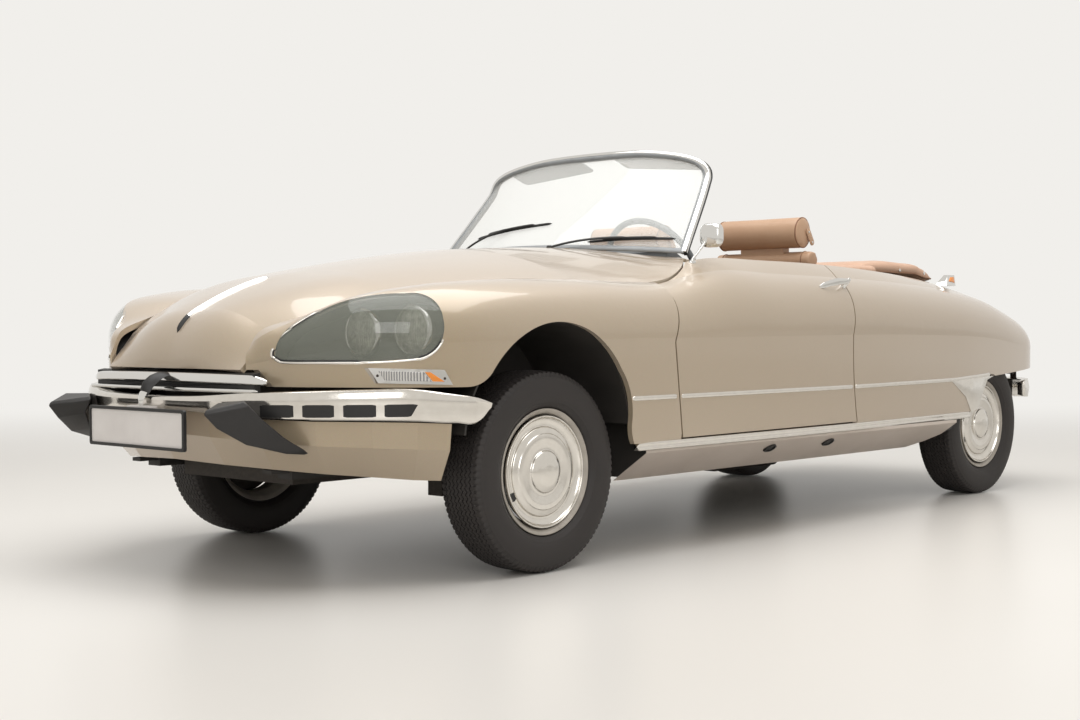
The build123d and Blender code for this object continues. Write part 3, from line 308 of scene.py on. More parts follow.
def tyre_surface():
    """Tread and sides as one ring: a closed section whose groove edges swing in a zigzag along the tread.

    The zigzag is a triangle wave of WAVES periods. The shoulders don't swing; there the first quarter
    of each wave is cut down by 4 mm, which leaves a row of blocks.
    """
    steps = 6
    turns = WAVES * steps
    phase = np.arange(turns) / steps
    zigzag = (2 * np.abs(2 * (phase % 1) - 1) - 1)[:, None]
    ribs = np.linspace(-0.054, 0.054, 7)
    half = RIB_GAP / 2
    x = [-TREAD_HALF, -0.066]
    depth, swing, block = [0, 0], [0, 0], [1, 1]
    for rib in ribs:
        x += [rib - half - 0.0006, rib - half, rib + half, rib + half + 0.0006]
        depth += [0, 1, 1, 0]
        swing += [1] * 4
        block += [0] * 4
    x += [0.066, TREAD_HALF]
    depth, swing, block = depth + [0, 0], swing + [0, 0], block + [1, 1]
    x, depth, swing, block = (np.array(values, float) for values in (x, depth, swing, block))
    crown = TYRE_RADIUS - 0.0035 * (x / TREAD_HALF) ** 2
    cut = ((phase % 1) < 0.26)[:, None]
    tread_x = x + swing * zigzag * WAVE_REACH
    tread_r = crown - depth * GROOVE_DEPTH - block * cut * 0.004
    side = np.array([(0.0765, 0.3245), (0.0815, 0.3175), (0.0852, 0.3100), (0.0862, 0.3092), (0.0893, 0.2980),
                     (0.0897, 0.2968), (0.0917, 0.2830), (SECTION_HALF, 0.2660), (0.0915, 0.2540),
                     (0.0897, 0.2400), (0.0893, 0.2390), (0.0862, 0.2285), (0.0856, 0.2280), (0.0790, 0.2165),
                     (0.0700, 0.2095), (0.0655, 0.2085), (0.0648, BEAD_RADIUS)])
    drop = np.array([0.0035, 0.003, 0.001] + [0.0] * (len(side) - 3))
    side_r = side[:, 1] - cut * drop
    side_x = np.broadcast_to(side[:, 0], side_r.shape)
    ring_x = np.concatenate([-side_x[:, ::-1], tread_x, side_x], 1)
    ring_r = np.concatenate([side_r[:, ::-1], tread_r, side_r], 1)
    angle = np.linspace(0, 2 * np.pi, turns, endpoint=False)[:, None]
    return np.stack([ring_x, ring_r * np.sin(angle), ring_r * np.cos(angle)], -1)


HUBS = {"front_left": (0.758, 0.0, 0.330), "front_right": (-0.758, 0.0, 0.330),
        "rear_left": (0.658, 3.125, 0.330), "rear_right": (-0.658, 3.125, 0.330)}
tyre_points = tyre_surface()
tyre_faces = grid_faces(*tyre_points.shape[:2], round_rows=True, round_columns=True)
for corner, (hub_x, hub_s, hub_z) in HUBS.items():
    hub = np.array([hub_x, hub_s + FRONT_AXLE_Y, hub_z])
    tyre = piece(f"treaded_tyre_{corner}", tyre_points + hub, tyre_faces, tyre_rubber, f"wheel_{corner}",
                 28.0)
    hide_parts(f"tyre_{corner}")

# ---- Wheels -------------------------------------------------------------------------------
# Pressed steel drop rims in grey enamel, each almost hidden by a spun stainless cap: a rolled
# bead, a recessed channel with the valve hole, a raised disc, and a small centre dome.

# Spun and buffed stainless: warm grey metal with faint polishing haze.
polished_stainless = finish("polished_stainless_steel", ("#CFCBC4", "#E0DDD7"),
                            dict(Scale=35.0, Detail=4.0), (0.10, 0.20), Metallic=1.0)

# Stoved enamel on the rim: pale warm grey with a soft gloss and brake dust in its corners.
rim_enamel = finish("grey_rim_enamel", ("#8F8880", "#B9B3A9"), dict(Scale=20.0, Detail=5.0), 0.38,
                    Metallic=0.25)

# Black moulded rubber and plastic: fine grain, no shine.
soft_black = finish("matt_black_moulding", ("#111111", "#1C1B1B"), dict(Scale=7.0, Detail=4.0), 0.48,
                    grain=(900.0, 0.35, 0.0003))

CAP_TURNS = 96


def rounded(corners, radius, steps=4):
    """Polyline with each inner corner replaced by a quadratic curve from radius before it to radius after."""
    corners = np.asarray(corners, float)
    way = np.diff(corners, axis=0)
    reach = np.linalg.norm(way, axis=1)
    unit = way / reach[:, None]
    t = np.linspace(0, 1, steps + 1)[:, None]
    line = [corners[:1]]
    for k in range(1, len(corners) - 1):
        r = min(radius, reach[k - 1] * 0.45, reach[k] * 0.45)
        start, end = corners[k] - unit[k - 1] * r, corners[k] + unit[k] * r
        line.append((1 - t) ** 2 * start + 2 * t * (1 - t) * corners[k] + t ** 2 * end)
    return np.concatenate(line + [corners[-1:]])


cap_outside = rounded([(0.058, 0.1785), (0.0665, 0.1845), (0.0735, 0.1830), (0.0735, 0.1790),
                       (0.0655, 0.1760), (0.0600, 0.1700), (0.0570, 0.1600), (0.0560, 0.1480),
                       (0.0640, 0.1445), (0.0685, 0.1260), (0.0720, 0.1235), (0.0725, 0.1080),
                       (0.0690, 0.0800), (0.0690, 0.0705), (0.0770, 0.0670), (0.0840, 0.0480),
                       (0.0880, 0.0240), (0.0890, 0.0001)], 0.003)
cap_inside = cap_outside[::-1] - [0.0012, 0]
cap_ring = np.concatenate([cap_outside, cap_inside])
rim_ring = rounded([(0.062, 0.1915), (0.0655, 0.1925), (0.066, 0.2040), (0.0700, 0.2075), (0.0745, 0.2070),
                    (0.0755, 0.2035), (0.0700, 0.1960), (0.0640, 0.1890), (0.0520, 0.1870), (0.0420, 0.1790),
                    (0.0300, 0.1700), (-0.0300, 0.1680), (-0.0560, 0.1840), (-0.0640, 0.1890),
                    (-0.0700, 0.2035), (-0.0720, 0.2040), (-0.0660, 0.1925), (-0.0350, 0.1890),
                    (0.0300, 0.1890)], 0.003, 3)
disc_ring = rounded([(0.0360, 0.0240), (0.0360, 0.0900), (0.0460, 0.1400), (0.0400, 0.1685), (0.0360, 0.1685),
                     (0.0420, 0.1400), (0.0320, 0.0900), (-0.0300, 0.0900), (-0.0300, 0.0240)], 0.003, 3)
for corner, (hub_x, hub_s, hub_z) in HUBS.items():
    hub = np.array([hub_x, hub_s + FRONT_AXLE_Y, hub_z])
    outward = np.array([math.copysign(1, hub_x), 1, 1])
    cap_points = turned(cap_ring, CAP_TURNS) * outward + hub
    cap = piece(f"stainless_cap_{corner}", cap_points, grid_faces(CAP_TURNS, len(cap_ring), True, True),
                polished_stainless, f"wheel_{corner}", 32.0)
    rim_points = turned(rim_ring, CAP_TURNS) * outward + hub
    rim = piece(f"steel_rim_{corner}", rim_points, grid_faces(CAP_TURNS, len(rim_ring), True, True),
                rim_enamel, f"wheel_{corner}", 35.0)
    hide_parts(f"wheel_{corner}")
    disc_points = turned(disc_ring, 72) * outward + hub
    disc = piece(f"brake_disc_{corner}", disc_points, grid_faces(72, len(disc_ring), True, True),
                 cast_iron, f"wheel_{corner}", 35.0)
    # valve hole: a shallow black dished plug in the channel, 28 mm across, painted shade standing for the
    # dark inside of the hole
    plug = rounded([(0.0, 0.0001), (0.0, 0.0120), (0.0014, 0.0140), (-0.003, 0.0142), (-0.003, 0.0001)],
                   0.001, 2)
    tilt = Matrix.Rotation(math.radians(118 if corner.endswith("left") else -118), 3, "X")
    spot = np.array(tilt @ Vector((0, 0, 0.1570)))
    hole = turned(plug, 32) + [0.0585, 0, 0] + spot
    piece(f"valve_hole_{corner}", hole * outward + hub, grid_faces(32, len(plug), True, True), soft_black,
          f"wheel_{corner}")

# ---- Side mouldings -----------------------------------------------------------------------
# Rolled stainless strips clipped along the waist and over the sill, in lengths that stop at
# each shut line; the strip on each panel moves with it. Their front ends are rounded off.
WAIST_HALF, WAIST_PROUD = 0.0085, 0.0046


def placed(points):
    """Points (x, distance behind the front axle, z) in millimetres as metres in the frame."""
    return np.asarray(points, float) / 1000 + [0, FRONT_AXLE_Y, 0]


def mesh_tree(mesh):
    """A search tree over a mesh's faces."""
    return BVHTree.FromPolygons([v.co for v in mesh.vertices], [p.vertices for p in mesh.polygons])


def tree_of(name):
    """A search tree over one CAD node's triangles."""
    return mesh_tree(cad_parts[name].data)


def landed(name, starts, way):
    """First hits of rays from starts along way on a CAD node: points, and normals that face the ray."""
    tree, way = tree_of(name), Vector(way).normalized()
    found = [tree.ray_cast(Vector(start), way) for start in starts]
    found = [(hit, normal if normal.dot(way) < 0 else -normal) for hit, normal, _, _ in found if hit]
    return (np.array([list(hit) for hit, _ in found]).reshape(-1, 3),
            np.array([list(normal) for _, normal in found]).reshape(-1, 3))


def eased(values, passes=3):
    """Each inner row replaced by a quarter of its neighbours and half of itself, several times."""
    values = np.array(values, float)
    for _ in range(passes):
        values[1:-1] = values[:-2] * 0.25 + values[1:-1] * 0.5 + values[2:] * 0.25
    return values


def swept(line, outward, profile, taper=(0.0, 0.0), scale=None):
    """Profile (up, out) carried along a line: point (i, j) = line i + up j * side i + out j * outward i.

    side is tangent x outward, and one outward way may serve the whole line. Within a taper's length of
    an end the profile shrinks as a quarter ellipse.
    """
    line, outward, profile = (np.asarray(values, float) for values in (line, outward, profile))
    outward = np.broadcast_to(outward, line.shape)
    tangent = np.gradient(line, axis=0)
    tangent /= np.linalg.norm(tangent, axis=1, keepdims=True)
    outward = outward - tangent * np.sum(outward * tangent, 1, keepdims=True)
    outward /= np.linalg.norm(outward, axis=1, keepdims=True)
    side = np.cross(outward, tangent)
    run = np.concatenate([[0], np.cumsum(np.linalg.norm(np.diff(line, axis=0), axis=1))])
    size = np.ones(len(line)) if scale is None else np.array(scale, float)
    for length, distance in ((taper[0], run), (taper[1], run[-1] - run)):
        if length:
            size *= np.sqrt(np.clip(1 - (1 - np.clip(distance / length, 0, 1)) ** 2, 0.0025, 1))
    return (line[:, None] + size[:, None, None] * (profile[None, :, :1] * side[:, None]
                                                   + profile[None, :, 1:] * outward[:, None]))


def rod_faces(rows, columns):
    """Quads round a closed profile carried along a line, with an end face at each end."""
    return grid_faces(rows, columns, False, True) + [list(range(columns))[::-1],
                                                     list(range((rows - 1) * columns, rows * columns))]


def moulding(name, line, outward, profile, material, body, taper=(0.0, 0.0), scale=None, sharp=40.0):
    """A closed profile carried along a line as one piece."""
    points = swept(line, outward, profile, taper, scale)
    return piece(name, points, rod_faces(*points.shape[:2]), material, body, sharp)


def half_round(half, proud, sunk=0.003, steps=9):
    """Closed profile of a half-round strip: an elliptic arc, half wide and proud high, over a flat back."""
    angle = np.linspace(0, np.pi, steps)
    arc = np.stack([half * np.cos(angle), proud * np.sin(angle)], 1)
    return np.concatenate([[[half, -sunk]], arc, [[-half, -sunk]]])


SIDE_PANELS = (("front_wing", "body"), ("door", "door"), ("rear_wing", "body"))
for sign, hand in SIDES:
    for panel, rider in SIDE_PANELS:
        s = np.arange(352, 3710, 6.0)
        height = np.interp(s, [352, 1804, 2680, 3700], [556, 550, 551, 584])
        starts = placed(np.stack([np.full(len(s), 1300.0 * sign), s, height], 1))
        line, normal = landed(f"{panel}_{hand}", starts, (-sign, 0, 0))
        keep = np.concatenate([[True], np.diff(line[:, 1]) < 0.02]).cumprod().astype(bool)
        inner = slice(1, -1) if panel == "door" else slice(0, -1)
        line, normal = eased(line[keep][inner]), eased(normal[keep][inner], 12)
        body = f"door_{hand}" if rider == "door" else "body"
        strip = moulding(f"waist_strip_{panel}_{hand}", line, normal, half_round(WAIST_HALF, WAIST_PROUD),
                         polished_stainless, body, (0.012 if panel == "front_wing" else 0.003, 0.003))

    # sill strip: a wider double-ribbed strip just under the doors, from the front wing to the rear arch
    s = np.arange(396, 2875, 12.0)
    plan = np.interp(s, [396, 660, 1200, 1804, 2400, 2600, 2750, 2875],
                     [886, 892, 893, 877, 850, 838, 826, 812])
    middle = np.interp(s, [396, 2875], [389, 387])
    line = placed(np.stack([plan * sign, s, middle], 1))
    ribbed = np.array([(-15, -26), (-15, -3), (-13, 1), (-9, 3), (-5, 1.5), (0, 0.5), (5, 1.5), (9, 3),
                       (13, 1), (15, -3), (15, -26)]) / 1000
    strip = moulding(f"sill_strip_{hand}", line, [sign, 0.0, 0.0], ribbed, polished_stainless, "body",
                     (0.022, 0.016), sharp=50)

# ---- Sill covers --------------------------------------------------------------------------
# Plain pressed aluminium covers, satin and slightly dusty, screwed under the sill strips; each
# has a jack slot ahead of and behind the middle, edged with black rubber, its hole filled with
# black as painted shade.
satin_aluminium, tree, out = blank_material("satin_rolled_aluminium")
# Rolled sheet, satin and a little warm from road dust near its lower edge.
place = add(tree, "ShaderNodeTexCoord").outputs["Object"]
grain_way = add(tree, "ShaderNodeMapping", Vector=place, Scale=(60.0, 1.5, 60.0))
grain = add(tree, "ShaderNodeTexNoise", Vector=grain_way.outputs[0], Scale=8.0, Detail=4.0)
dust = add(tree, "ShaderNodeTexNoise", Vector=place, Scale=5.0, Detail=5.0)
tone = add(tree, "ShaderNodeMixRGB", Fac=dust.outputs["Fac"], Color1=linear("#BDB1A7"),
           Color2=linear("#D2C8BF"))
matt = add(tree, "ShaderNodeMapRange", Value=grain.outputs["Fac"], To_Min=0.38, To_Max=0.55)
shader = add(tree, "ShaderNodeBsdfPrincipled", Base_Color=tone.outputs["Color"], Metallic=0.55,
             Roughness=matt.outputs[0])
tree.links.new(shader.outputs["BSDF"], out.inputs["Surface"])


def cover_z(x):
    """Height of a cover's sloping underside, 1.6 mm below the sill's: 110 mm up over 160 mm outwards."""
    return 262 - 1.6 + (x - 720) * 110 / 160


for sign, hand in SIDES:
    s = np.array([470, 520, 900, 1300, 1700, 2100, 2460, 2560, 2640])
    top_x = np.full(9, 867.0)
    low_x = np.array([716, 714, 714, 714, 714, 714, 714, 745, 790])
    shoulder = placed(np.stack([top_x * sign, s, cover_z(top_x) + 0.7], 1))
    top = placed(np.stack([top_x * sign, s, np.full(9, 375.0)], 1))
    low = placed(np.stack([low_x * sign, s, cover_z(low_x)], 1))
    t = np.linspace(0, 1, 5)[None, :, None]
    outer = np.concatenate([top[:, None], shoulder[:, None] * (1 - t) + low[:, None] * t], 1)
    inner = outer[:, ::-1] + np.array([-0.0006 * sign, 0, 0.0008])
    ring = np.concatenate([outer, inner], 1)
    cover = piece(f"sill_cover_{hand}", ring, rod_faces(9, 12), satin_aluminium, "body")
    # each slot is one black dish: black rubber at its edge, painted shade for the hole in its middle
    for number, middle in enumerate((1267, 1670)):
        across, up = circle(28).T
        across, up = 30 * across, 23 * np.where(up < 0, -np.abs(up) ** 0.35, up)
        slope = np.array([0.819 * sign, 0, 0.573])
        away = np.array([0.573 * sign, 0, -0.819])
        base = placed((825 * sign, middle, 332.0))
        rim = base + (across[:, None] * [0, 0.001, 0] + up[:, None] * 0.001 * slope)
        flat = base + (across[:, None] * [0, 0.00078, 0] + up[:, None] * 0.00078 * slope)
        lift = away * 0.006
        stack = [rim - lift, rim + lift, flat + lift, flat + lift * 0.35, base + 0 * flat + lift * 0.35]
        piece(f"jack_slot_{hand}_{number}", stack, grid_faces(5, 28, False, True) + [list(range(28))],
              soft_black, "body")

# ---- Headlamps ----------------------------------------------------------------------------
# Round lamps with pressed fluted lenses in bright bezels, set in a dark pan behind a shaped
# clear glass that carries on the wing's surface; a thin bright band and black seal edge it.

# Clear soda-lime glass with a faint green cast, seen nearly edge on; polished.
lamp_glass = finish("clear_shaped_glass", ("#8E9488", "#A9AB9F"), dict(Scale=3.0, Detail=3.0), 0.03,
                    IOR=1.5, Alpha=0.30, Coat_Weight=1.0)
dress(lamp_glass, "lamp_covers")
dress(soft_black, "lamp_pans")

# Vacuum-silvered bowl: bright, with a slight haze.
silvered = finish("silvered_reflector", ("#B4B4AE",), dict(Scale=40.0, Detail=3.0), (0.08, 0.22),
                  Metallic=1.0)
dress(silvered, "headlamps")

# Polished chrome plate: near-mirror with faint wipe marks in the polish.
bright_chrome = finish("bright_chrome_plate", ("#DCDCDA",), dict(Scale=25.0, Detail=3.0), (0.04, 0.11),
                       Metallic=1.0)

# Pressed lens: greenish grey glass drawn opaque, its pale and dark cells a painted reflection of the bowl
# behind it as the flutes break it up.
fluted = finish("fluted_lens_glass", ("#6F7268", "#B9BAAE"), dict(Scale=55.0), 0.12, kind="Voronoi",
                channel="Distance", Metallic=0.35, Coat_Weight=1.0)

LAMP_CENTRES = {"inner": (600, -575, 786, 74), "outer": (734, -487, 793, 76)}
for sign, hand in SIDES:
    for which, (x, s, z, radius) in LAMP_CENTRES.items():
        centre = placed((x * sign, s, z))
        r = radius / 1000
        # lens: a shallow dome about y whose height also ripples with x as 16 flutes
        ring = np.linspace(0.0, r - 0.004, 30)[:, None]
        turn = np.linspace(0, 2 * np.pi, 96, endpoint=False)[None, :]
        lens_x, lens_z = ring * np.sin(turn), ring * np.cos(turn)
        flutes = 0.0016 * np.cos(lens_x / r * np.pi * 16) * np.minimum(1, 6 * (1 - ring / r))
        dome = 0.0145 * (1 - (ring / r) ** 2) + flutes
        front = np.stack([lens_x, -0.0045 - dome, lens_z], -1)
        back = np.stack([lens_x, np.full(dome.shape, -0.0005), lens_z], -1)[::-1]
        shell = np.concatenate([front, back]) + centre
        lens = piece(f"lamp_lens_{which}_{hand}", shell, grid_faces(60, 96, False, True), fluted, "body", 60)
        bezel = rounded([(-0.010, r - 0.006), (-0.0125, r - 0.002), (-0.0100, r + 0.0045),
                         (0.004, r + 0.0065),
                         (0.004, r + 0.001), (-0.004, r - 0.004)], 0.002, 3)
        angle = np.linspace(0, 2 * np.pi, 96, endpoint=False)[:, None]
        around = np.stack([bezel[None, :, 1] * np.sin(angle), np.broadcast_to(bezel[:, 0], (96, len(bezel))),
                           bezel[None, :, 1] * np.cos(angle)], -1) + centre
        made = piece(f"lamp_bezel_{which}_{hand}", around, grid_faces(96, len(bezel), True, True),
                     bright_chrome, "body")

# the opening's outline in (x, station, z), clockwise from its pointed inner end
GLASS_EDGE = [(455, -810, 714), (452, -811, 728), (466, -793, 768), (493, -763, 805), (528, -719, 842),
              (582, -654, 873), (656, -584, 893), (715, -502, 902), (745, -460, 900), (775, -440, 882),
              (812, -443, 846), (835, -453, 805), (843, -473, 760), (835, -497, 730), (815, -526, 711),
              (767, -583, 702), (682, -674, 701), (552, -760, 701), (473, -806, 702)]
knots = np.array(GLASS_EDGE, float)
for _ in range(3):
    # corner cutting: each side gives two points, a quarter of the way in from each of its ends
    after = np.roll(knots, -1, axis=0)
    knots = np.stack([knots * 0.75 + after * 0.25, knots * 0.25 + after * 0.75], 1).reshape(-1, 3)
for sign, hand in SIDES:
    edge = placed(knots * [sign, 1, 1])
    gaze = np.array([0.62 * sign, -0.72, 0.31])
    gaze /= np.linalg.norm(gaze)
    covers, wing = tree_of("lamp_covers"), tree_of(f"front_wing_{hand}")
    seat, outward = [], []
    for point in edge:
        near = min((tree.find_nearest(Vector(point)) for tree in (covers, wing)), key=lambda found: found[3])
        seat.append(list(near[0]))
        facing = near[1] if near[1].dot(Vector(gaze)) > 0 else -near[1]
        outward.append(list(facing.lerp(Vector(gaze), 0.5).normalized()))
    seat, outward = np.array(seat), np.array(outward)
    seat, outward = np.vstack([seat, seat[:1]]), np.vstack([outward, outward[:1]])
    for label, shift, half, proud, material in (("band", 0.0045, 0.0040, 0.0030, polished_stainless),
                                                ("seal", -0.0020, 0.0028, 0.0018, soft_black)):
        tangent = np.gradient(seat, axis=0)
        tangent /= np.linalg.norm(tangent, axis=1, keepdims=True)
        away = np.cross(tangent, outward)
        centre = seat.mean(0)
        away *= np.sign(np.sum(away * (seat - centre), 1, keepdims=True))
        line = seat + away * shift
        points = swept(line, outward, half_round(half, proud, 0.002, 7))[:-1]
        piece(f"lamp_{label}_{hand}", points, grid_faces(*points.shape[:2], True, True), material, "body")

# ---- Front bumper -------------------------------------------------------------------------
# One pressed stainless bar with a crease along its middle and rolled edges, bolted to two
# irons. Each side has four slots below the crease, black pads as painted shade for the openings;
# the last ends on a slant.


def softened(node, name, material, body, radius, steps=3, corner=18.0):
    """A merged copy of a CAD node with its creases rolled over to that radius, standing for the node."""
    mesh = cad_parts[node].data.copy()
    work = bmesh.new()
    work.from_mesh(mesh)
    bmesh.ops.remove_doubles(work, verts=work.verts, dist=1e-5)
    bmesh.ops.dissolve_limit(work, angle_limit=math.radians(0.6), verts=work.verts, edges=work.edges)
    sharp = [edge for edge in work.edges if len(edge.link_faces) == 2
             and edge.calc_face_angle(0) > math.radians(corner)]
    bmesh.ops.bevel(work, geom=sharp, offset=radius, offset_type="OFFSET", segments=steps, profile=0.5,
                    affect="EDGES", clamp_overlap=True)
    bmesh.ops.recalc_face_normals(work, faces=work.faces)
    work.to_mesh(mesh)
    work.free()
    made = shaded(name, mesh, material)
    mesh.set_sharp_from_angle(angle=math.radians(40))
    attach(made, body)
    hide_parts(node)
    return made


BUMPER_ROWS = [(0, -972, 0, 592, 580, 556), (250, -954, 8, 596, 580, 546), (440, -902, 20, 608, 584, 532),
               (600, -800, 34, 614, 585, 526), (730, -680, 42, 618, 586, 524), (820, -560, 56, 618, 586, 520),
               (872, -440, 70, 600, 580, 512), (890, -345, 80, 585, 574, 516), (893, -306, 84, 572, 566, 552)]
# the bar: rows above are joined by a smooth curve in (x, station), and each carries a section of
# a rolled top, a convex band down to the crease, a slightly hollow band below it, and a rolled foot
rows = np.array(BUMPER_ROWS, float)
reach = np.concatenate([[0], np.cumsum(np.linalg.norm(np.diff(rows[:, :2], axis=0), axis=1))])
fine = np.linspace(0, reach[-1], 90)


def curve_through(knots, values, at):
    """Cubic Hermite curve through values at knots; each slope is the mean of the slopes beside it."""
    step = np.diff(knots)
    slope = np.diff(values) / step
    inner = (slope[:-1] * step[1:] + slope[1:] * step[:-1]) / (step[:-1] + step[1:])
    slopes = np.concatenate([[slope[0]], inner, [slope[-1]]])
    k = np.clip(np.searchsorted(knots, at, side="right") - 1, 0, len(step) - 1)
    t = (at - knots[k]) / step[k]
    return ((2 * t ** 3 - 3 * t ** 2 + 1) * values[k] + (t ** 3 - 2 * t ** 2 + t) * step[k] * slopes[k]
            + (3 * t ** 2 - 2 * t ** 3) * values[k + 1] + (t ** 3 - t ** 2) * step[k] * slopes[k + 1])


bar_x, bar_s, bar_turn, bar_top, bar_crease, bar_foot = (curve_through(reach, rows[:, n], fine)
                                                         for n in range(6))
rise, fall = bar_top - bar_crease, bar_crease - bar_foot
section = []
for depth, share in ((-44, 1.0), (-22, 1.0), (-13, 0.985), (-8, 0.93), (-5, 0.80), (-3, 0.6), (-1.2, 0.3),
                     (0, 0.0)):
    section.append((np.full(90, float(depth)), bar_crease + rise * share))
for depth, share in ((-1.5, 0.15), (-2.5, 0.35), (-3.5, 0.6), (-5.0, 0.82), (-7.5, 0.94), (-12, 1.0),
                     (-44, 1.0)):
    section.append((np.full(90, float(depth)), bar_crease - fall * share))
depths, heights = (np.stack([part[n] for part in section], 1) for n in (0, 1))
turn = np.radians(bar_turn)[:, None]
half_bar = np.stack([(bar_x[:, None] + depths * np.sin(turn)),
                     (bar_s[:, None] - depths * np.cos(turn)), heights], -1)
whole_bar = np.concatenate([half_bar[:0:-1] * [-1, 1, 1], half_bar])
bumper = piece("front_bumper_bar", placed(whole_bar), rod_faces(179, len(section)),
               polished_stainless, "body", 24)
dress(soft_black, "front_bumper")
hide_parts("front_bumper")
irons = placed([(x, s, z) for x in (347, 383) for s, z in ((-930, 580), (-930, 545), (-720, 425), (-600, 425),
                                                           (-600, 440), (-700, 440))]).reshape(2, 6, 3)
for sign, hand in SIDES:
    iron = piece(f"bumper_iron_{hand}", irons * [sign, 1, 1], rod_faces(2, 6), chassis_black, "body")


def border(grid):
    """The outer ring of a grid of points, in order."""
    return np.concatenate([grid[:, 0], grid[-1, 1:], grid[-2::-1, -1], grid[0, -2:0:-1]])


bar_tree = mesh_tree(bumper.data)
# each slot is a thin black pad on the bar: painted shade standing for the opening
SLOTS = ((480, 568, 0), (590, 664, 0), (684, 751, 0), (767, 824, 1))
for sign, hand in SIDES:
    for number, (low_x, high_x, slanted) in enumerate(SLOTS):
        across = np.linspace(0, 1, 9)
        x = low_x + (high_x - low_x) * across
        up = np.linspace(-1, 1, 5)
        outline = np.stack(np.meshgrid(x, up, indexing="ij"), -1)
        if slanted:
            outline[..., 0] += (outline[..., 0] - low_x) / (high_x - low_x) * -5 * (1 - outline[..., 1])
        ends = np.minimum(1, np.minimum(across, 1 - across) * 9 + 0.88)[:, None]
        height = 553.5 + 19 * outline[..., 1] * ends
        plan_s = np.interp(outline[..., 0], bar_x, bar_s)
        plan_turn = np.radians(np.interp(outline[..., 0], bar_x, bar_turn))
        out_way = np.stack([np.sin(plan_turn), -np.cos(plan_turn), 0 * plan_turn], -1)
        start = placed(np.stack([outline[..., 0], plan_s, height], -1)) + out_way * 0.05
        flat = []
        for point, way in zip(start.reshape(-1, 3), out_way.reshape(-1, 3)):
            hit = bar_tree.ray_cast(Vector(point), Vector(-way))[0]
            flat.append(list(hit) if hit else list(point - way * 0.052))
        face = np.array(flat).reshape(9, 5, 3)
        stack = np.stack([face + out_way * 0.0009, face - out_way * 0.002])
        loop = np.stack([border(stack[1]), border(stack[0])])
        faces = grid_faces(2, loop.shape[1], False, True)
        points = np.concatenate([loop.reshape(-1, 3), stack[0].reshape(-1, 3), stack[1].reshape(-1, 3)])
        count = loop.shape[1] * 2
        front = [[v + count for v in quad] for quad in grid_faces(9, 5)]
        rear = [[v + count + 45 for v in quad[::-1]] for quad in grid_faces(9, 5)]
        piece(f"bumper_slot_{hand}_{number}", points * [sign, 1, 1], faces + front + rear, soft_black, "body",
              30)

# ---- Valance, blade, beak and overriders --------------------------------------------------
# A painted valance turns under the bumper. Above it a chrome blade follows the bonnet's front
# edge over a gap backed by a black sheet, painted shade for the dark opening, with a black beak on a
# chrome foot in the middle; two pointed rubber horns stand ahead of the bar, with the blank plate on
# its black backing between them.

# Dense moulded rubber: black-brown, a dull sheen, a few pale scuffs on the corners.
horn_rubber = finish("moulded_bumper_rubber", ("#121111", "#211E1D"),
                     dict(Scale=24.0, Detail=6.0, Roughness=0.7), 0.40, grain=(600.0, 0.3, 0.0003))

# each horn is a four-sided wedge: a blunt top with its point forward, drawn down and out to a tail
HORN = [[(362, -946, 578), (440, -1048, 561), (503, -955, 586), (436, -905, 586)],
        [(348, -952, 568), (442, -1056, 549), (513, -946, 574), (440, -892, 572)],
        [(372, -958, 524), (452, -1016, 506), (531, -915, 536), (462, -862, 530)],
        [(428, -906, 466), (495, -942, 456), (555, -850, 476), (505, -806, 470)],
        [(512, -816, 428), (540, -826, 424), (566, -784, 438), (544, -768, 434)],
        [(544, -766, 420), (552, -768, 419), (557, -758, 423), (550, -754, 423)]]
for sign, hand in SIDES:
    corners = placed(HORN) * [sign, 1, 1]
    horn = piece(f"rubber_horn_{hand}", corners, rod_faces(6, 4), horn_rubber, "body", 30)
    edge = horn.modifiers.new("edge", "BEVEL")
    edge.width, edge.segments, edge.limit_method, edge.angle_limit = 0.006, 3, "ANGLE", math.radians(20)
    if sign > 0:
        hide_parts("overriders")

# the recess: a black sheet at the back of the opening, painted shade for the dark inside of the intake
recess = np.array([(-438, -870, 604), (-438, -870, 664), (-438, -846, 668), (-438, -846, 604)], float)
recess = placed(np.stack([recess, recess * [-1, 1, 1]]))
back = piece("grille_recess", recess, rod_faces(2, 4), soft_black, "body", 30)
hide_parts("front_grille")
for number, z in enumerate((610, 620, 630)):
    bar = placed([(x, -884 + 24 * (x / 452) ** 2, z) for x in np.linspace(-436, 436, 31)])
    moulding(f"grille_bar_{number}", bar, [0.0, -1.0, 0.0], half_round(0.0022, 0.003, 0.012, 5),
             soft_black, "body")

blade_x = np.linspace(-478, 478, 81)
ends = np.clip((478 - np.abs(blade_x)) / 46, 0, 1)
bow = -892 + 24 * (blade_x / 478) ** 2
blade_z = 647 + 4 * (1 - (blade_x / 478) ** 2) - 7 * (1 - ends)
line = placed(np.stack([blade_x, bow + 16 * (1 - ends), blade_z], 1))
blade_profile = np.array([(-16, -12), (-16, -3), (-14, 1), (-4, 4), (5, 4.5), (12, 2), (16, -4),
                          (15, -12)]) / 1000
blade = moulding("bonnet_edge_blade", line, [0.0, -0.93, 0.36], blade_profile, bright_chrome, "body",
                 scale=0.35 + 0.65 * np.sqrt(ends), sharp=45)
lower_x = np.linspace(-470, 470, 61)
line = placed(np.stack([lower_x, -905 + 26 * (lower_x / 470) ** 2, np.full(61, 612.0)], 1))
lower = moulding("gap_lower_lip", line, [0.0, -1.0, 0.25], half_round(0.006, 0.006),
                 bright_chrome, "body", (0.02, 0.02))

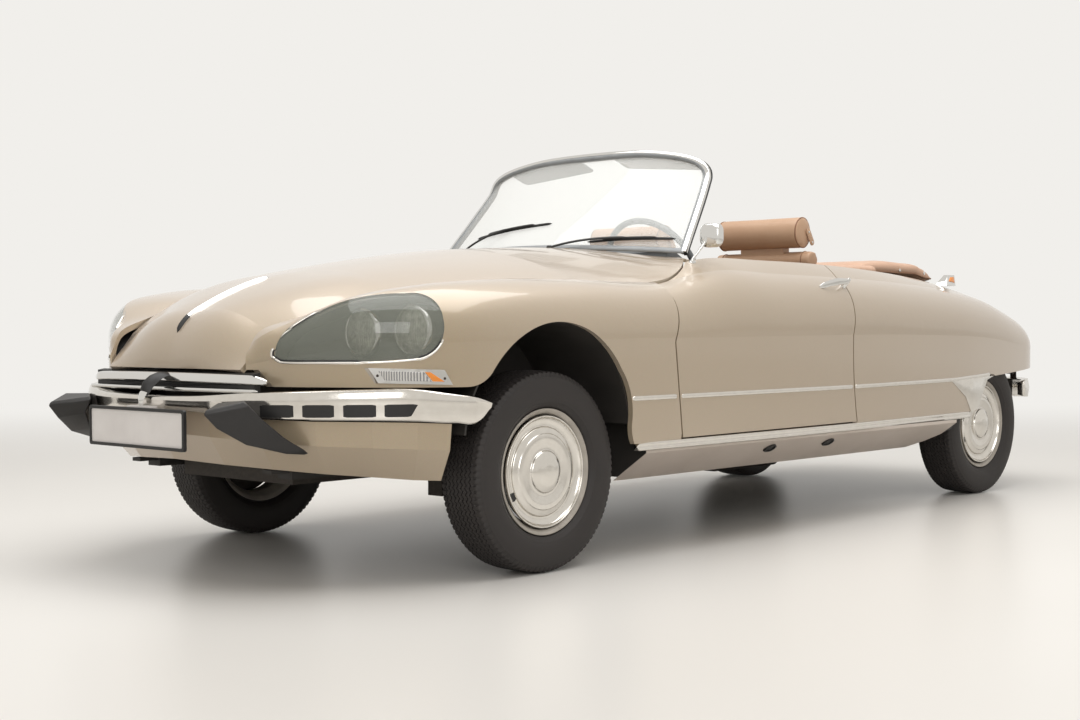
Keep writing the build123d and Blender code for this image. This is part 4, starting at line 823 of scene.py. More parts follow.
# beak: a black hooked nose whose section narrows to a ridge, leaning forward over a chrome foot
beak_rows = [(-866, 652, 36, 7), (-885, 660, 34, 10), (-910, 658, 31, 14), (-935, 646, 28, 19),
             (-955, 628, 25, 22), (-966, 610, 22, 20), (-970, 598, 19, 14)]
profile = np.array([(-1, -0.9), (-0.75, -0.2), (-0.35, 0.55), (0, 0.85), (0.35, 0.55), (0.75, -0.2),
                    (1, -0.9)])
points = np.stack([np.stack([profile[:, 0] * wide, s - 0.45 * high * (profile[:, 1] + 0.9),
                             z + 0.55 * high * profile[:, 1]], 1) for s, z, wide, high in beak_rows])
piece("nose_beak", placed(points), rod_faces(*points.shape[:2]), soft_black, "body", 50)
foot_rows = [(-974, 604, 22), (-981, 592, 20), (-985, 576, 16), (-982, 560, 10)]
points = np.stack([np.stack([profile[:, 0] * wide, np.full(7, float(s)) - 4 * (profile[:, 1] + 0.9),
                             np.full(7, float(z)) + 3 * profile[:, 1]], 1) for s, z, wide in foot_rows])
foot = piece("beak_foot", placed(points), rod_faces(*points.shape[:2]), bright_chrome, "body", 50)

# Blank number plate: white enamelled aluminium with a soft gloss, greyed a little by road film.
plate_white = finish("white_plate_enamel", ("#D3CECB", "#E6E2DF"), dict(Scale=12.0, Detail=4.0), 0.32)
dress(plate_white, "front_plate")


def plate_ring(width, height, corner, count=8):
    """Rounded rectangle as points (across, up): four quarter circles of that corner radius."""
    angle = np.linspace(0, np.pi / 2, count)
    quarter = np.stack([np.cos(angle), np.sin(angle)], 1) * corner
    x, z = width / 2 - corner, height / 2 - corner
    turns = [(1, 1, quarter), (-1, 1, quarter[::-1]), (-1, -1, quarter), (1, -1, quarter[::-1])]
    return np.concatenate([[sx, sz] * q + np.array([sx * x, sz * z]) for sx, sz, q in turns])


def facing_rings(layers, x, z):
    """Outlines (across, up), each at its station and centred on (x, z), as rows x points x 3 in metres."""
    return placed([np.stack([ring[:, 0] + x, np.full(len(ring), float(s)), ring[:, 1] + z], 1)
                   for ring, s in layers])


outer, inner = plate_ring(536, 128, 9), plate_ring(518, 108, 6)
layers = [(outer, -996), (outer, -1006), (outer * 0.992, -1008), (inner, -1008), (inner, -1004.5),
          (inner, -996)]
piece("plate_holder", facing_rings(layers, 0, 491), grid_faces(6, 32, True, True), soft_black, "body")

# ---- Front indicators ---------------------------------------------------------------------
# A bright die-cast bezel with a clear lamp glass and an amber end, held by two screws.

# Moulded acrylic, amber right through, with fine ribs inside that show as a soft streak.
amber = finish("amber_lamp_plastic", ("#D9731A", "#F09A34"), dict(Scale=90.0, Distortion=0.4), 0.15,
               kind="Wave", settings={"bands_direction": "Z"}, Coat_Weight=0.6)
# Clear acrylic over a silvered tray: grey-white with fine upright ribs.
clear_lens = finish("clear_ribbed_lamp_plastic", ("#77777A", "#D5D3CE"), dict(Scale=60.0, Distortion=0.3),
                    0.1, kind="Wave", settings={"bands_direction": "X"}, Metallic=0.3, Coat_Weight=0.8)
dress(bright_chrome, "front_indicators")

corners = np.array([(-657, 682), (-472, 674), (-447, 628), (-636, 636)], float)


def round_stack(name, centre, along, beside, outward, layers, count, material, body, sharp=40.0):
    """Round piece through layers (h, r) in mm: centre + h outward + r (along cos a + beside sin a)."""
    spread = circle(count) @ np.array([along, beside], float) / 1000
    rings = [np.array(centre) + np.array(outward) * h / 1000 + r * spread for h, r in layers]
    return piece(name, np.stack(rings), grid_faces(len(layers), count, False, True) + [list(range(count))],
                 material, body, sharp)


def indicator_point(u, v):
    """(station, z) at share u along and v up of the bezel's four-sided outline."""
    u, v = np.asarray(u)[..., None], np.asarray(v)[..., None]
    low = corners[3] * (1 - u) + corners[2] * u
    high = corners[0] * (1 - u) + corners[1] * u
    return low * (1 - v) + high * v


LENSES = {"clear": ([(0.09, 0.20), (0.70, 0.20), (0.66, 0.82), (0.09, 0.82)], clear_lens, 0.0030),
          "amber": ([(0.715, 0.20), (0.90, 0.20), (0.76, 0.82), (0.675, 0.82)], amber, 0.0042)}
for sign, hand in SIDES:
    for label, (shape, material, proud) in LENSES.items():
        quad = np.array(shape)
        u, v = (quad[:, n] for n in (0, 1))
        share = np.linspace(0, 1, 9)[:, None]
        edge_u = np.concatenate([u[k] * (1 - share) + u[(k + 1) % 4] * share for k in range(4)])[:, 0]
        edge_v = np.concatenate([v[k] * (1 - share) + v[(k + 1) % 4] * share for k in range(4)])[:, 0]
        search, rings = tree_of("front_indicators"), []
        for grow, lift in ((1.0, -0.003), (1.0, proud * 0.6), (0.93, proud), (0.5, proud * 1.12),
                           (0.02, proud * 1.15)):
            at = indicator_point(u.mean() + (edge_u - u.mean()) * grow, v.mean() + (edge_v - v.mean()) * grow)
            starts = placed(np.stack([np.full(36, 1200.0 * sign), at[:, 0], at[:, 1]], 1))
            hits = [search.ray_cast(Vector(start), Vector((-sign, 0, 0)))[0] for start in starts]
            seat = np.array([list(hit) if hit else list(start) for hit, start in zip(hits, starts)])
            rings.append(seat + np.array([0.79 * sign, -0.61, 0.0]) * lift)
        piece(f"indicator_{label}_{hand}", rings, rod_faces(5, 36), material, "body", 35)
    for number, (u, v) in enumerate(((0.045, 0.5), (0.925, 0.42))):
        start = Vector(placed((1200 * sign, *indicator_point(u, v))))
        hit = tree_of("front_indicators").ray_cast(start, Vector((-sign, 0, 0)))[0]
        if hit:
            round_stack(f"indicator_screw_{hand}_{number}", hit, (-0.61 * sign, -0.79, 0.0), (0.0, 0.0, 1.0),
                        (0.79 * sign, -0.61, 0.0), ((-1, 4.2), (0.8, 4.2), (1.4, 3.2), (1.4, 0.2)), 20,
                        cast_iron, "body")

# ---- Bonnet spear and belt strips -----------------------------------------------------------
# A die-cast chrome spear with a black tip lies along the bonnet's middle. A thin folded chrome
# strip closes the top edge of each door, its rear end turned down and rounded.
s = np.linspace(-846, -478, 60)
line, normal = landed("bonnet", placed(np.stack([0 * s, s, 0 * s + 1500], 1)), (0, 0, -1))
line, normal = eased(line), eased(normal, 10)
spear_profile = np.array([(-9, -3), (-9, 1), (-6, 4), (-2, 9), (0, 10), (2, 9), (6, 4), (9, 1),
                          (9, -3)]) / 1000
moulding("bonnet_spear", line, normal, spear_profile, bright_chrome, "bonnet", (0.04, 0.05),
                 sharp=60)
moulding("bonnet_spear_tip", line[:9], normal[:9], spear_profile * 1.12, soft_black, "bonnet", (0.03, 0.004),
         sharp=60)

for sign, hand in SIDES:
    tree = tree_of(f"door_{hand}")
    top = []
    for station in np.arange(984, 1806, 9.0):
        for across in np.arange(620, 800, 2.0):
            start = placed((across * sign, station, 1400))
            hit = tree.ray_cast(Vector(start), Vector((0, 0, -1)))[0]
            if hit and hit.z > 0.95:
                top.append([hit.x, hit.y, hit.z])
                break
    top = eased(top, 8) + [0.004 * sign, 0, 0]
    over = np.array([(-7, -6), (-7, 1.5), (-5, 3.5), (0, 4.2), (5, 3.5), (8, 0.5), (8.5, -6)]) / 1000
    strip = moulding(f"belt_strip_{hand}", top, [0.25 * sign, 0.0, 1.0], over, bright_chrome,
                     f"door_{hand}", (0.006, 0.02), sharp=50)

# ---- Door handles -----------------------------------------------------------------------------
# Cast chrome bow handles: a flattened paddle that rises to a boss with a round push button, over
# a small scutcheon, screwed through the door's skin.
for sign, hand in SIDES:
    s = np.linspace(1592, 1782, 40)
    height = np.interp(s, [1592, 1782], [952, 955])
    starts = placed(np.stack([0 * s + 1300 * sign, s, height], 1))
    line, normal = landed(f"door_{hand}", starts, (-sign, 0, 0))
    line, normal = eased(line, 10), eased(normal, 20)
    share = np.linspace(0, 1, 40)
    lift = 0.034 * np.sin(np.pi * share * 0.60) ** 0.8 / np.sin(np.pi * 0.6) ** 0.8
    lift = np.minimum(lift, 0.032)
    turn = np.linspace(0, 2 * np.pi, 20, endpoint=False)
    broad = np.interp(share, [0, 0.12, 0.5, 0.85, 1], [5, 12, 14, 11, 10])
    thick = np.interp(share, [0, 0.12, 0.5, 0.85, 1], [3, 5, 5.5, 8, 9])
    up = np.array([0, 0, 1.0])
    bow = (line + normal * lift[:, None])[:, None] + (
        np.cos(turn)[None, :, None] * broad[:, None, None] * 0.001 * up
        + np.sin(turn)[None, :, None] * thick[:, None, None] * 0.001 * normal[:, None])
    paddle = piece(f"handle_bow_{hand}", bow, rod_faces(40, 20), bright_chrome, f"door_{hand}", 50)
    along = np.array([0, 1.0, 0])
    centre, out_way = line[-1], normal[-1] / np.linalg.norm(normal[-1])
    centre = centre - along * 0.004
    boss = round_stack(f"handle_button_{hand}", centre, up, along, out_way,
                       ((-3, 17), (1, 17), (3, 15.5), (4, 13), (30, 12.5), (33, 11.5), (34, 9.5), (34, 9),
                        (41, 9), (42.5, 8), (43, 0.3)), 20, bright_chrome, f"door_{hand}", 35)

# ---- Driver's door mirror ----------------------------------------------------------------------
# Chrome-plated rounded rectangular head on a raked conical stalk with a ball joint; silvered
# glass faces the driver. A cast foot is screwed to the door's shoulder.

# Flat back-silvered glass with a faint film.
mirror_silver = finish("silvered_mirror_glass", ("#DFE3E4",), dict(Scale=30.0, Detail=3.0), (0.015, 0.05),
                       Metallic=1.0)
HEAD_WIDTH, HEAD_HEIGHT, HEAD_AT = 94, 90, (752, 1139)
ring = plate_ring(HEAD_WIDTH, HEAD_HEIGHT, 30)
layers = [(ring * share, s) for share, s in
          ((0.10, 974), (0.55, 975.5), (0.82, 979), (0.94, 984), (0.985, 990), (1.0, 998), (1.0, 1008),
           (0.985, 1010), (0.93, 1010), (0.93, 1007))]
head = piece("mirror_head", facing_rings(layers, *HEAD_AT),
             grid_faces(10, 32, False, True) + [list(range(32))],
             bright_chrome, "door_left", 45)
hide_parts("door_mirror")
layers = [(ring * 0.935 * share, s) for share, s in ((1.0, 1006.0), (1.0, 1007.5), (0.02, 1007.8))]
piece("mirror_glass", facing_rings(layers, *HEAD_AT), grid_faces(3, 32, False, True) + [list(range(32))],
      mirror_silver, "door_left", 30)
stalk_line = placed([(709, 936, 1046), (712, 942, 1056), (722, 955, 1078), (733, 969, 1102), (741, 979, 1122),
                     (743, 981, 1130)])
stalk = moulding("mirror_stalk", stalk_line, [0.9, -0.4, 0.2], circle(18) * 0.0062, bright_chrome,
                 "door_left", scale=[1.0, 0.85, 0.8, 0.95, 1.35, 1.6], sharp=60)
tree = tree_of("door_left")
foot_at = tree.find_nearest(Vector(placed((712, 938, 1050))))
foot_up = np.array(foot_at[1]) * (1 if foot_at[1].z > 0 else -1)
side_way = np.cross(foot_up, [0, 1.0, 0])
side_way /= np.linalg.norm(side_way)
long_way = np.cross(side_way, foot_up)
foot = round_stack("mirror_foot", foot_at[0], side_way * 11, long_way * 17, foot_up,
                   ((-2, 1.0), (1.5, 1.0), (4, 0.9), (9, 0.55), (12, 0.5), (12.5, 0.02)), 18, bright_chrome,
                   "door_left")

# ---- Guards ahead of the rear wheels ----------------------------------------------------------
# Polished stainless plates that cover the front of each rear wheel opening, cut in an S.
softened("rear_guards", "rear_wheel_guards", polished_stainless, "body", 0.0008, 2, 30)

# ---- Windscreen -------------------------------------------------------------------------------
# One panoramic sheet of laminated glass in a grey rubber seal, held in a bright header and two
# raked pillars. Grey translucent sun visors hinge on the header; two black wipers park low.

# Clear laminated glass whose nearly white colour, laid over what is behind it by its alpha, is a painted pale
# reflection, greener at the rim.
screen_glass = finish("laminated_screen_glass", ("#E9EDEA", "#F1F2EF"), dict(Scale=3.0, Detail=2.0), 0.03,
                      Alpha=0.26)
# Grey extruded rubber, dull with a soft highlight.
grey_seal = finish("grey_screen_rubber", ("#777A7C", "#989B9D"), dict(Scale=20.0, Detail=4.0), 0.42)

HEADER = [(0, 1180, 1502), (150, 1180, 1500), (290, 1181, 1493), (400, 1183, 1479), (465, 1185, 1467),
          (520, 1188, 1452), (556, 1191, 1436)]
CORNER = [(574, 1193, 1421), (586, 1194, 1402), (593, 1189, 1380)]
PILLAR = [(601, 1166, 1345), (614, 1124, 1290), (630, 1066, 1217), (646, 1006, 1143), (660, 952, 1074)]
half = np.array(HEADER + CORNER + PILLAR, float)
knots = np.concatenate([[0], np.cumsum(np.linalg.norm(np.diff(half, axis=0), axis=1))])
at = np.linspace(0, knots[-1], 70)
half = np.stack([curve_through(knots, half[:, n], at) for n in range(3)], 1)
path = placed(np.concatenate([half[::-1] * [-1, 1, 1], half[1:]]))
away = path - placed([(0, 1060, 1290)])
bright = np.array([(-13, -7), (-13, 5), (-10, 9), (-3, 11.5), (4, 11), (10, 8), (13, 3), (13, -7)]) / 1000
surround = moulding("screen_surround", path, away, bright, bright_chrome, "body", sharp=60)
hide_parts("windscreen_frame")
inward = away / np.linalg.norm(away, axis=1, keepdims=True)
moulding("screen_seal", path - inward * 0.0125, away, circle(16) * [0.013, 0.0115], grey_seal, "body",
         sharp=60)
moulding("screen_black_line", path + inward * 0.0095 + [0, 0.008, 0], away, circle(16) * 0.0032, soft_black,
         "body")

# the sheet: a Coons patch between the foot's arc, the header and the two pillars
across, up = np.linspace(-1, 1, 49), np.linspace(0, 1, 19)
foot_x = 655 * across
foot = np.stack([foot_x, 745 + 207 * across ** 2, 1104 - 26 * across ** 2], 1)
shoulder = np.argmin(np.abs(half[:, 2] - 1402))
head_run = np.abs(across) * at[shoulder]
head = np.stack([np.interp(head_run, at, half[:, n]) for n in range(3)], 1)
head[:, 0] *= np.sign(across)
side_run = at[-1] + (at[shoulder] - at[-1]) * up
side = np.stack([np.interp(side_run, at, half[:, n]) for n in range(3)], 1)
left, right = side * [-1, 1, 1], side
u, v = ((across + 1) / 2)[:, None, None], up[None, :, None]
sheet = ((1 - v) * foot[:, None] + v * head[:, None] + (1 - u) * left[None] + u * right[None]
         - (1 - u) * (1 - v) * left[0] - u * (1 - v) * right[0] - (1 - u) * v * left[-1] - u * v * right[-1])
glass = piece("screen_glass", placed(sheet), grid_faces(49, 19), screen_glass, "body", 60)
wall = glass.modifiers.new("pane", "SOLIDIFY")
wall.thickness, wall.offset = 0.005, 0.0
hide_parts("windscreen_glass")
moulding("screen_foot_seal", placed(foot) + [0, 0.002, 0.004], [0.0, -0.6, 0.8],
         circle(16) * [0.014, 0.008], grey_seal, "body", sharp=60)

# sun visors: grey translucent boards with rounded corners, tipped up behind the header
# Translucent smoke-grey acrylic sheet with a fine grain.
visor_grey = finish("smoked_visor_plastic", ("#A6AAAC", "#BFC3C5"), dict(Scale=300.0), 0.25, Alpha=0.75)
for sign, hand in SIDES:
    ring = plate_ring(400, 105, 22)
    layers = [ring * 0.02, ring * 0.985, ring, ring, ring * 0.985, ring * 0.02]
    lifts = [-3.5, -3.5, -2.2, 2.2, 3.5, 3.5]
    tip, lean = np.array([0, 0.94, -0.34]), np.array([0, 0.34, 0.94])
    points = placed((290 * sign, 1252, 1462)) + 0.001 * np.stack(
        [part[:, :1] * [1.0, 0, 0] + part[:, 1:] * tip + lift * lean for part, lift in zip(layers, lifts)])
    points[..., 2] -= 0.012 * (np.abs(points[..., 0]) / 0.29) ** 2 - 0.012
    piece(f"sun_visor_{hand}", points,
          grid_faces(6, 32, False, True) + [list(range(32)), list(range(160, 192))], visor_grey, "body")

# wipers: a sprung blade lying on the glass, a tapered arm and a spindle cap at the scuttle
glass_tree = BVHTree.FromPolygons(placed(sheet).reshape(-1, 3), grid_faces(49, 19))
for hand, low, high, spindle in (("left", (300, 1122), (612, 1128), (180, 722, 1083)),
                                 ("right", (-360, 1161), (72, 1206), (-330, 752, 1083))):
    blade = []
    for share in np.linspace(0, 1, 33):
        x, z = np.array(low) * (1 - share) + np.array(high) * share
        z += 5 * np.sin(np.pi * share)
        hit = glass_tree.ray_cast(Vector((x / 1000, -1.4, z / 1000)), Vector((0, 1, 0)))[0]
        if hit:
            blade.append([hit.x, hit.y - 0.0065, hit.z + 0.003])
    blade = eased(blade, 4)
    flat = np.array([(-5, -2), (-4, 3), (0, 5), (4, 3), (5, -2)]) / 1000
    made = moulding(f"wiper_blade_{hand}", blade, [0.0, -0.85, 0.5], flat, soft_black,
                    "body", (0.03, 0.03), sharp=50)
    middle = blade[len(blade) // 2] + [0, -0.009, 0.006]
    start = placed(spindle) + [0, 0, 0.022]
    bend = (start * 0.55 + middle * 0.45) + [0, -0.018, 0.022]
    share = np.linspace(0, 1, 17)[:, None]
    arm = start * (1 - share) ** 2 + 2 * bend * share * (1 - share) + middle * share ** 2
    moulding(f"wiper_arm_{hand}", arm, [0.0, -0.7, 0.7], circle(16) * [0.0055, 0.0038], soft_black,
             "body", (0.004, 0.03), sharp=60)
    bridge = blade[6:-6] + [0, -0.0065, 0.005]
    moulding(f"wiper_bridge_{hand}", bridge, [0.0, -0.85, 0.5], circle(16) * [0.0045, 0.003],
             soft_black, "body", (0.03, 0.03), sharp=60)
    round_stack(f"wiper_spindle_{hand}", start, (1, 0, 0), (0, 1, 0), (0, 0, 1),
                ((-30, 13), (-8, 13), (2, 11), (8, 8), (9, 0.2)), 16, soft_black, "body")
    if hand == "left":
        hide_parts("wipers")

# ---- Dashboard and steering wheel -------------------------------------------------------------
# Grey moulded shelf and a single-spoke wheel: a thin grey rim on one curved arm that grows out
# of the column.

# Grey grained moulding, dull.
grey_moulding = finish("grey_moulded_plastic", ("#74787B", "#888C8F"), dict(Scale=350.0, Detail=2.0), 0.5,
                       grain=(None, 0.25, 0.0003))
softened("dashboard", "dashboard_shelf", grey_moulding, "body", 0.010, 3, 30)

WHEEL_RADIUS, GRIP_RADIUS = 0.212, 0.0125
rake = math.radians(28)
hub = placed((370, 1122, 1024))
wheel_axis = np.array([0, math.cos(rake), math.sin(rake)])
wheel_up = np.array([0, -math.sin(rake), math.cos(rake)])
wheel_side = np.array([1.0, 0, 0])
around = np.linspace(0, 2 * np.pi, 96, endpoint=False)
thin = np.linspace(0, 2 * np.pi, 14, endpoint=False)
spread = np.cos(around)[:, None] * wheel_side + np.sin(around)[:, None] * wheel_up
rim = (hub + spread[:, None] * (WHEEL_RADIUS + GRIP_RADIUS * np.cos(thin)[None, :, None])
       + GRIP_RADIUS * np.sin(thin)[None, :, None] * wheel_axis)
wheel = piece("wheel_rim_grip", rim, grid_faces(96, 14, True, True), grey_moulding, "steering_wheel", 60)
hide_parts("steering_wheel")
share = np.linspace(0, 1, 24)[:, None]
spoke = hub + wheel_axis * -0.014 * (1 - share ** 2) - wheel_up * WHEEL_RADIUS * share
moulding("wheel_spoke", spoke, wheel_axis,
         circle(14) * [0.016, 0.009], grey_moulding, "steering_wheel", sharp=60)
column = np.stack([hub + wheel_axis * depth for depth in (-0.168, -0.09, -0.045, -0.018, 0.0)])
moulding("wheel_column", column, [1.0, 0, 0],
         circle(14) * 0.024, grey_moulding, "steering_wheel",
         scale=[0.98, 0.98, 0.98, 0.9, 0.55], sharp=60)

# ---- Seats --------------------------------------------------------------------------------------
# Tan hide over soft foam: separate front seats with rolled tops and drum headrests on screwed
# brackets, and a rear bench. Piping and sewn channels follow the shape; cushions are simulated.
hide, tree, out = blank_material("tan_seat_hide")
# Natural tan hide: fine grain, soft creases, slightly paler where it is stretched.
place = add(tree, "ShaderNodeTexCoord").outputs["Object"]
cloud = add(tree, "ShaderNodeTexNoise", Vector=place, Scale=7.0, Detail=5.0)
tone = add(tree, "ShaderNodeMixRGB", Fac=cloud.outputs["Fac"], Color1=linear("#AC8668"),
           Color2=linear("#C8A78B"))
grain = add(tree, "ShaderNodeTexVoronoi", Vector=place, Scale=420.0)
crease = add(tree, "ShaderNodeTexNoise", Vector=place, Scale=26.0, Detail=4.0)
fine = add(tree, "ShaderNodeBump", Height=grain.outputs["Distance"], Strength=0.25, Distance=0.0004)
relief = add(tree, "ShaderNodeBump", Height=crease.outputs["Fac"], Normal=fine.outputs["Normal"],
             Strength=0.3,
             Distance=0.0025)
shader = add(tree, "ShaderNodeBsdfPrincipled", Base_Color=tone.outputs["Color"], Roughness=0.42,
             Normal=relief.outputs["Normal"])
tree.links.new(shader.outputs["BSDF"], out.inputs["Surface"])
dress(hide, "door_frame_left", "door_frame_right")


def remeshed(mesh, voxel):
    """The mesh's volume again as even voxel quads."""
    made = bpy.data.objects.new("stuffing", mesh)
    scene.collection.objects.link(made)
    remesh = made.modifiers.new("even", "REMESH")
    remesh.mode, remesh.voxel_size = "VOXEL", voxel
    even = bpy.data.meshes.new_from_object(made.evaluated_get(bpy.context.evaluated_depsgraph_get()))
    bpy.data.objects.remove(made)
    return even


def block_of(corners, round_by, voxel):
    """Remeshed rounded solid between two like outlines, given as 2 x n points."""
    corners = np.asarray(corners, float)
    count = corners.shape[1]
    work = bmesh.new()
    ends = [[work.verts.new(point) for point in side] for side in corners]
    work.faces.new(ends[0][::-1])
    work.faces.new(ends[1])
    for n in range(count):
        work.faces.new([ends[0][n], ends[0][(n + 1) % count], ends[1][(n + 1) % count], ends[1][n]])
    bmesh.ops.recalc_face_normals(work, faces=work.faces)
    bmesh.ops.bevel(work, geom=list(work.edges), offset=round_by, offset_type="OFFSET", segments=4,
                    profile=0.5,
                    affect="EDGES", clamp_overlap=True)
    mesh = bpy.data.meshes.new("stuffing")
    work.to_mesh(mesh)
    work.free()
    return remeshed(mesh, voxel)


def cushion(name, corners, round_by, material, voxel, replaced=None):
    """A padded piece with its final shape still to be blown up."""
    made = shaded(name, block_of(corners, round_by, voxel), material)
    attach(made, "body")
    if replaced:
        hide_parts(replaced)
    return made


BLOW_FRAMES = 20


def blown(cushions, cap, pressure=4.0):
    """Cloth under pressure for BLOW_FRAMES, each point's way capped, then one subdivision."""
    rest = {}
    for made in cushions:
        rest[made.name] = np.array([v.co for v in made.data.vertices])
        cloth = made.modifiers.new("blow", "CLOTH")
        cloth.settings.use_pressure = True
        cloth.settings.uniform_pressure_force = pressure
        cloth.settings.effector_weights.gravity = 0.0
        cloth.settings.quality = 4
        cloth.point_cache.frame_start, cloth.point_cache.frame_end = 1, BLOW_FRAMES
    for number in range(1, BLOW_FRAMES + 1):
        scene.frame_set(number)
    graph = bpy.context.evaluated_depsgraph_get()
    for made in cushions:
        moved = np.array([v.co for v in made.evaluated_get(graph).data.vertices])
        way = moved - rest[made.name]
        length = np.linalg.norm(way, axis=1, keepdims=True)
        way *= np.minimum(1.0, cap / np.maximum(length, 1e-9))
        made.modifiers.remove(made.modifiers["blow"])
        made.data.vertices.foreach_set("co", (rest[made.name] + way).ravel())
        made.data.update()
    scene.frame_set(1)
    for made in cushions:
        fine = made.modifiers.new("smooth", "SUBSURF")
        fine.levels = fine.render_levels = 1


def side_outline(points, low, high):
    """An (s, z) outline at two x positions, as 2 x n places."""
    return np.stack([placed([(x, s, z) for s, z in points]) for x in (low, high)])


def stitched(name, made, points, material, radius=0.0022, lift=0.0006):
    """Piping laid on a cushion's surface through points, as a thin closed roll."""
    tree = mesh_tree(made.data)
    line, normal = [], []
    for point in placed(points):
        near = tree.find_nearest(Vector(point))
        line.append(list(near[0]))
        normal.append(list(near[1]))
    line, normal = eased(line, 4), eased(normal, 8)
    profile = circle(8) * radius
    length = np.linalg.norm(normal, axis=1, keepdims=True)
    return moulding(name, line + normal / length * lift, normal, profile, material, "body", sharp=80)


# The same hide drawn darker on the piping and sewn channels: painted shade of the seams' creases.
seam_shade_hide = finish("seam_painted_shade_hide", ("#7E5A42", "#946C50"), dict(Scale=40.0, Detail=3.0), 0.55)

SEAT_X = 370
CUSHION_VOXEL, ROLL_VOXEL, BENCH_VOXEL = 0.016, 0.012, 0.019
soft = []
for sign, hand in SIDES:
    x = SEAT_X * sign
    soft.append(cushion(f"seat_cushion_{hand}",
                        side_outline([(1236, 492), (1236, 622), (1764, 622), (1764, 492)], x - 253, x + 253),
                        0.035, hide,
                        CUSHION_VOXEL))
    soft.append(cushion(f"seat_back_{hand}",
                        side_outline([(1706, 570), (1794, 570), (1910, 1048), (1858, 1048)], x - 243,
                                     x + 243), 0.022, hide,
                        CUSHION_VOXEL, f"front_seat_{hand}"))
    roll = circle(28) * 38 + [1884, 1074]
    soft.append(cushion(f"seat_roll_{hand}", side_outline(roll, x - 244, x + 244), 0.010, hide, ROLL_VOXEL))
    drum = circle(28) * [58, 66] + [1868, 1190]
    soft.append(cushion(f"headrest_{hand}", side_outline(drum, x - 208, x + 208), 0.008, hide, ROLL_VOXEL))
soft.append(cushion("rear_bench_cushion",
                    side_outline([(1966, 420), (1966, 588), (2172, 588), (2274, 588), (2274, 420)], -554,
                                 554), 0.03, hide,
                    BENCH_VOXEL))
soft.append(cushion("rear_bench_back",
                    side_outline([(2186, 598), (2276, 598), (2292, 1030), (2284, 1060), (2236, 1060)], -554,
                                 554), 0.02,
                    hide, BENCH_VOXEL, "rear_seat"))
blown(soft, 0.007)

for number, made in enumerate(soft[:8]):
    sign, hand = SIDES[number // 4]
    x = SEAT_X * sign
    kind = number % 4
    if kind == 0:
        for n, across in enumerate((-150, -50, 50, 150)):
            stitched(f"cushion_channel_{hand}_{n}", made,
                     [(x + across, s, 650) for s in np.linspace(1262, 1735, 40)],
                     seam_shade_hide)
    if kind == 1:
        for n, across in enumerate((-150, -50, 50, 150)):
            stitched(f"back_channel_{hand}_{n}", made,
                     [(x + across, np.interp(z, [570, 1048], [1690, 1840]), z)
                      for z in np.linspace(660, 1030, 40)],
                     seam_shade_hide)
    if kind == 2:
        for n, across in enumerate((-205, 205)):
            ring = [(x + across, 1884 + 52 * np.cos(a), 1074 + 52 * np.sin(a))
                    for a in np.linspace(-2.2, 3.6, 40)]
            stitched(f"roll_seam_{hand}_{n}", made, ring, seam_shade_hide)
    if kind == 3:
        for n, across in enumerate((-207, 207)):
            ring = [(x + across, 1868 + 80 * np.cos(a), 1190 + 80 * np.sin(a))
                    for a in np.linspace(0, 2 * np.pi, 50)]
            stitched(f"headrest_piping_{hand}_{n}", made, ring, seam_shade_hide, 0.003)
        for n, across in enumerate((-218, 218)):
            way = 1 if across > 0 else -1
            toward = np.array([26.0, -42.0]) / math.hypot(26, 42)
            bone = 14 * circle(28) + np.where((circle(28) @ toward)[:, None] > 0, [1912, 1150], [1886, 1192])
            layers = [(0.0, 1.0), (3.2, 1.0), (4.2, 0.9), (4.4, 0.05)]
            centre = np.array([1899.0, 1171.0])
            rings = [placed([(x + across + way * h, *(centre + (p - centre) * g)) for p in bone])
                     for h, g in layers]
            piece(f"headrest_bracket_{hand}_{n}", np.stack(rings),
                  grid_faces(4, 28, False, True) + [list(range(28))], hide, "body", 40)
            for k, (s, z) in enumerate(((1886, 1192), (1912, 1150))):
                round_stack(f"bracket_screw_{hand}_{n}_{k}", placed((x + across, s, z)), (0, 1, 0), (0, 0, 1),
                            (way, 0, 0), ((3, 5), (5.5, 5), (6.2, 3.5), (6.4, 0.1)), 14, bright_chrome,
                            "body")
    if kind == 0:
        ring = plate_ring(440, 440, 30)
        base = placed([np.stack([ring[:, 0] * g + x, ring[:, 1] * g + 1500, np.full(32, float(z))], 1)
                       for g, z in ((1, 300), (1, 480), (0.9, 490))])
        piece(f"seat_base_{hand}", base,
              grid_faces(3, 32, False, True) + [list(range(32)), list(range(64, 96))], soft_black, "body")
        neck = side_outline([(1858, 1090), (1902, 1090), (1902, 1140), (1858, 1140)], x - 110, x + 110)
        piece(f"headrest_neck_{hand}", neck, rod_faces(2, 4), hide, "body", 30)

# ---- Hood cover -----------------------------------------------------------------------------------
# Tan leathercloth cover buttoned over the folded hood: piped along its foot, sewn in pleats at its
# front edge, held by press studs. The stack of hoops and cloth under it fills it.
cover_cloth, tree, out = blank_material("tan_hood_leathercloth")
# Tan leathercloth, a little pinker and duller than the seats, with a woven grain and soft creases.
place = add(tree, "ShaderNodeTexCoord").outputs["Object"]
cloud = add(tree, "ShaderNodeTexNoise", Vector=place, Scale=5.0, Detail=5.0)
tone = add(tree, "ShaderNodeMixRGB", Fac=cloud.outputs["Fac"], Color1=linear("#C49D83"),
           Color2=linear("#D8B59D"))
grain = add(tree, "ShaderNodeTexNoise", Vector=place, Scale=500.0)
pull_way = add(tree, "ShaderNodeMapping", Vector=place, Scale=(9.0, 2.0, 3.0))
pull = add(tree, "ShaderNodeTexNoise", Vector=pull_way.outputs[0], Scale=2.0, Detail=3.0)
fine = add(tree, "ShaderNodeBump", Height=grain.outputs["Fac"], Strength=0.25, Distance=0.0004)
relief = add(tree, "ShaderNodeBump", Height=pull.outputs["Fac"], Normal=fine.outputs["Normal"], Strength=0.5,
             Distance=0.006)
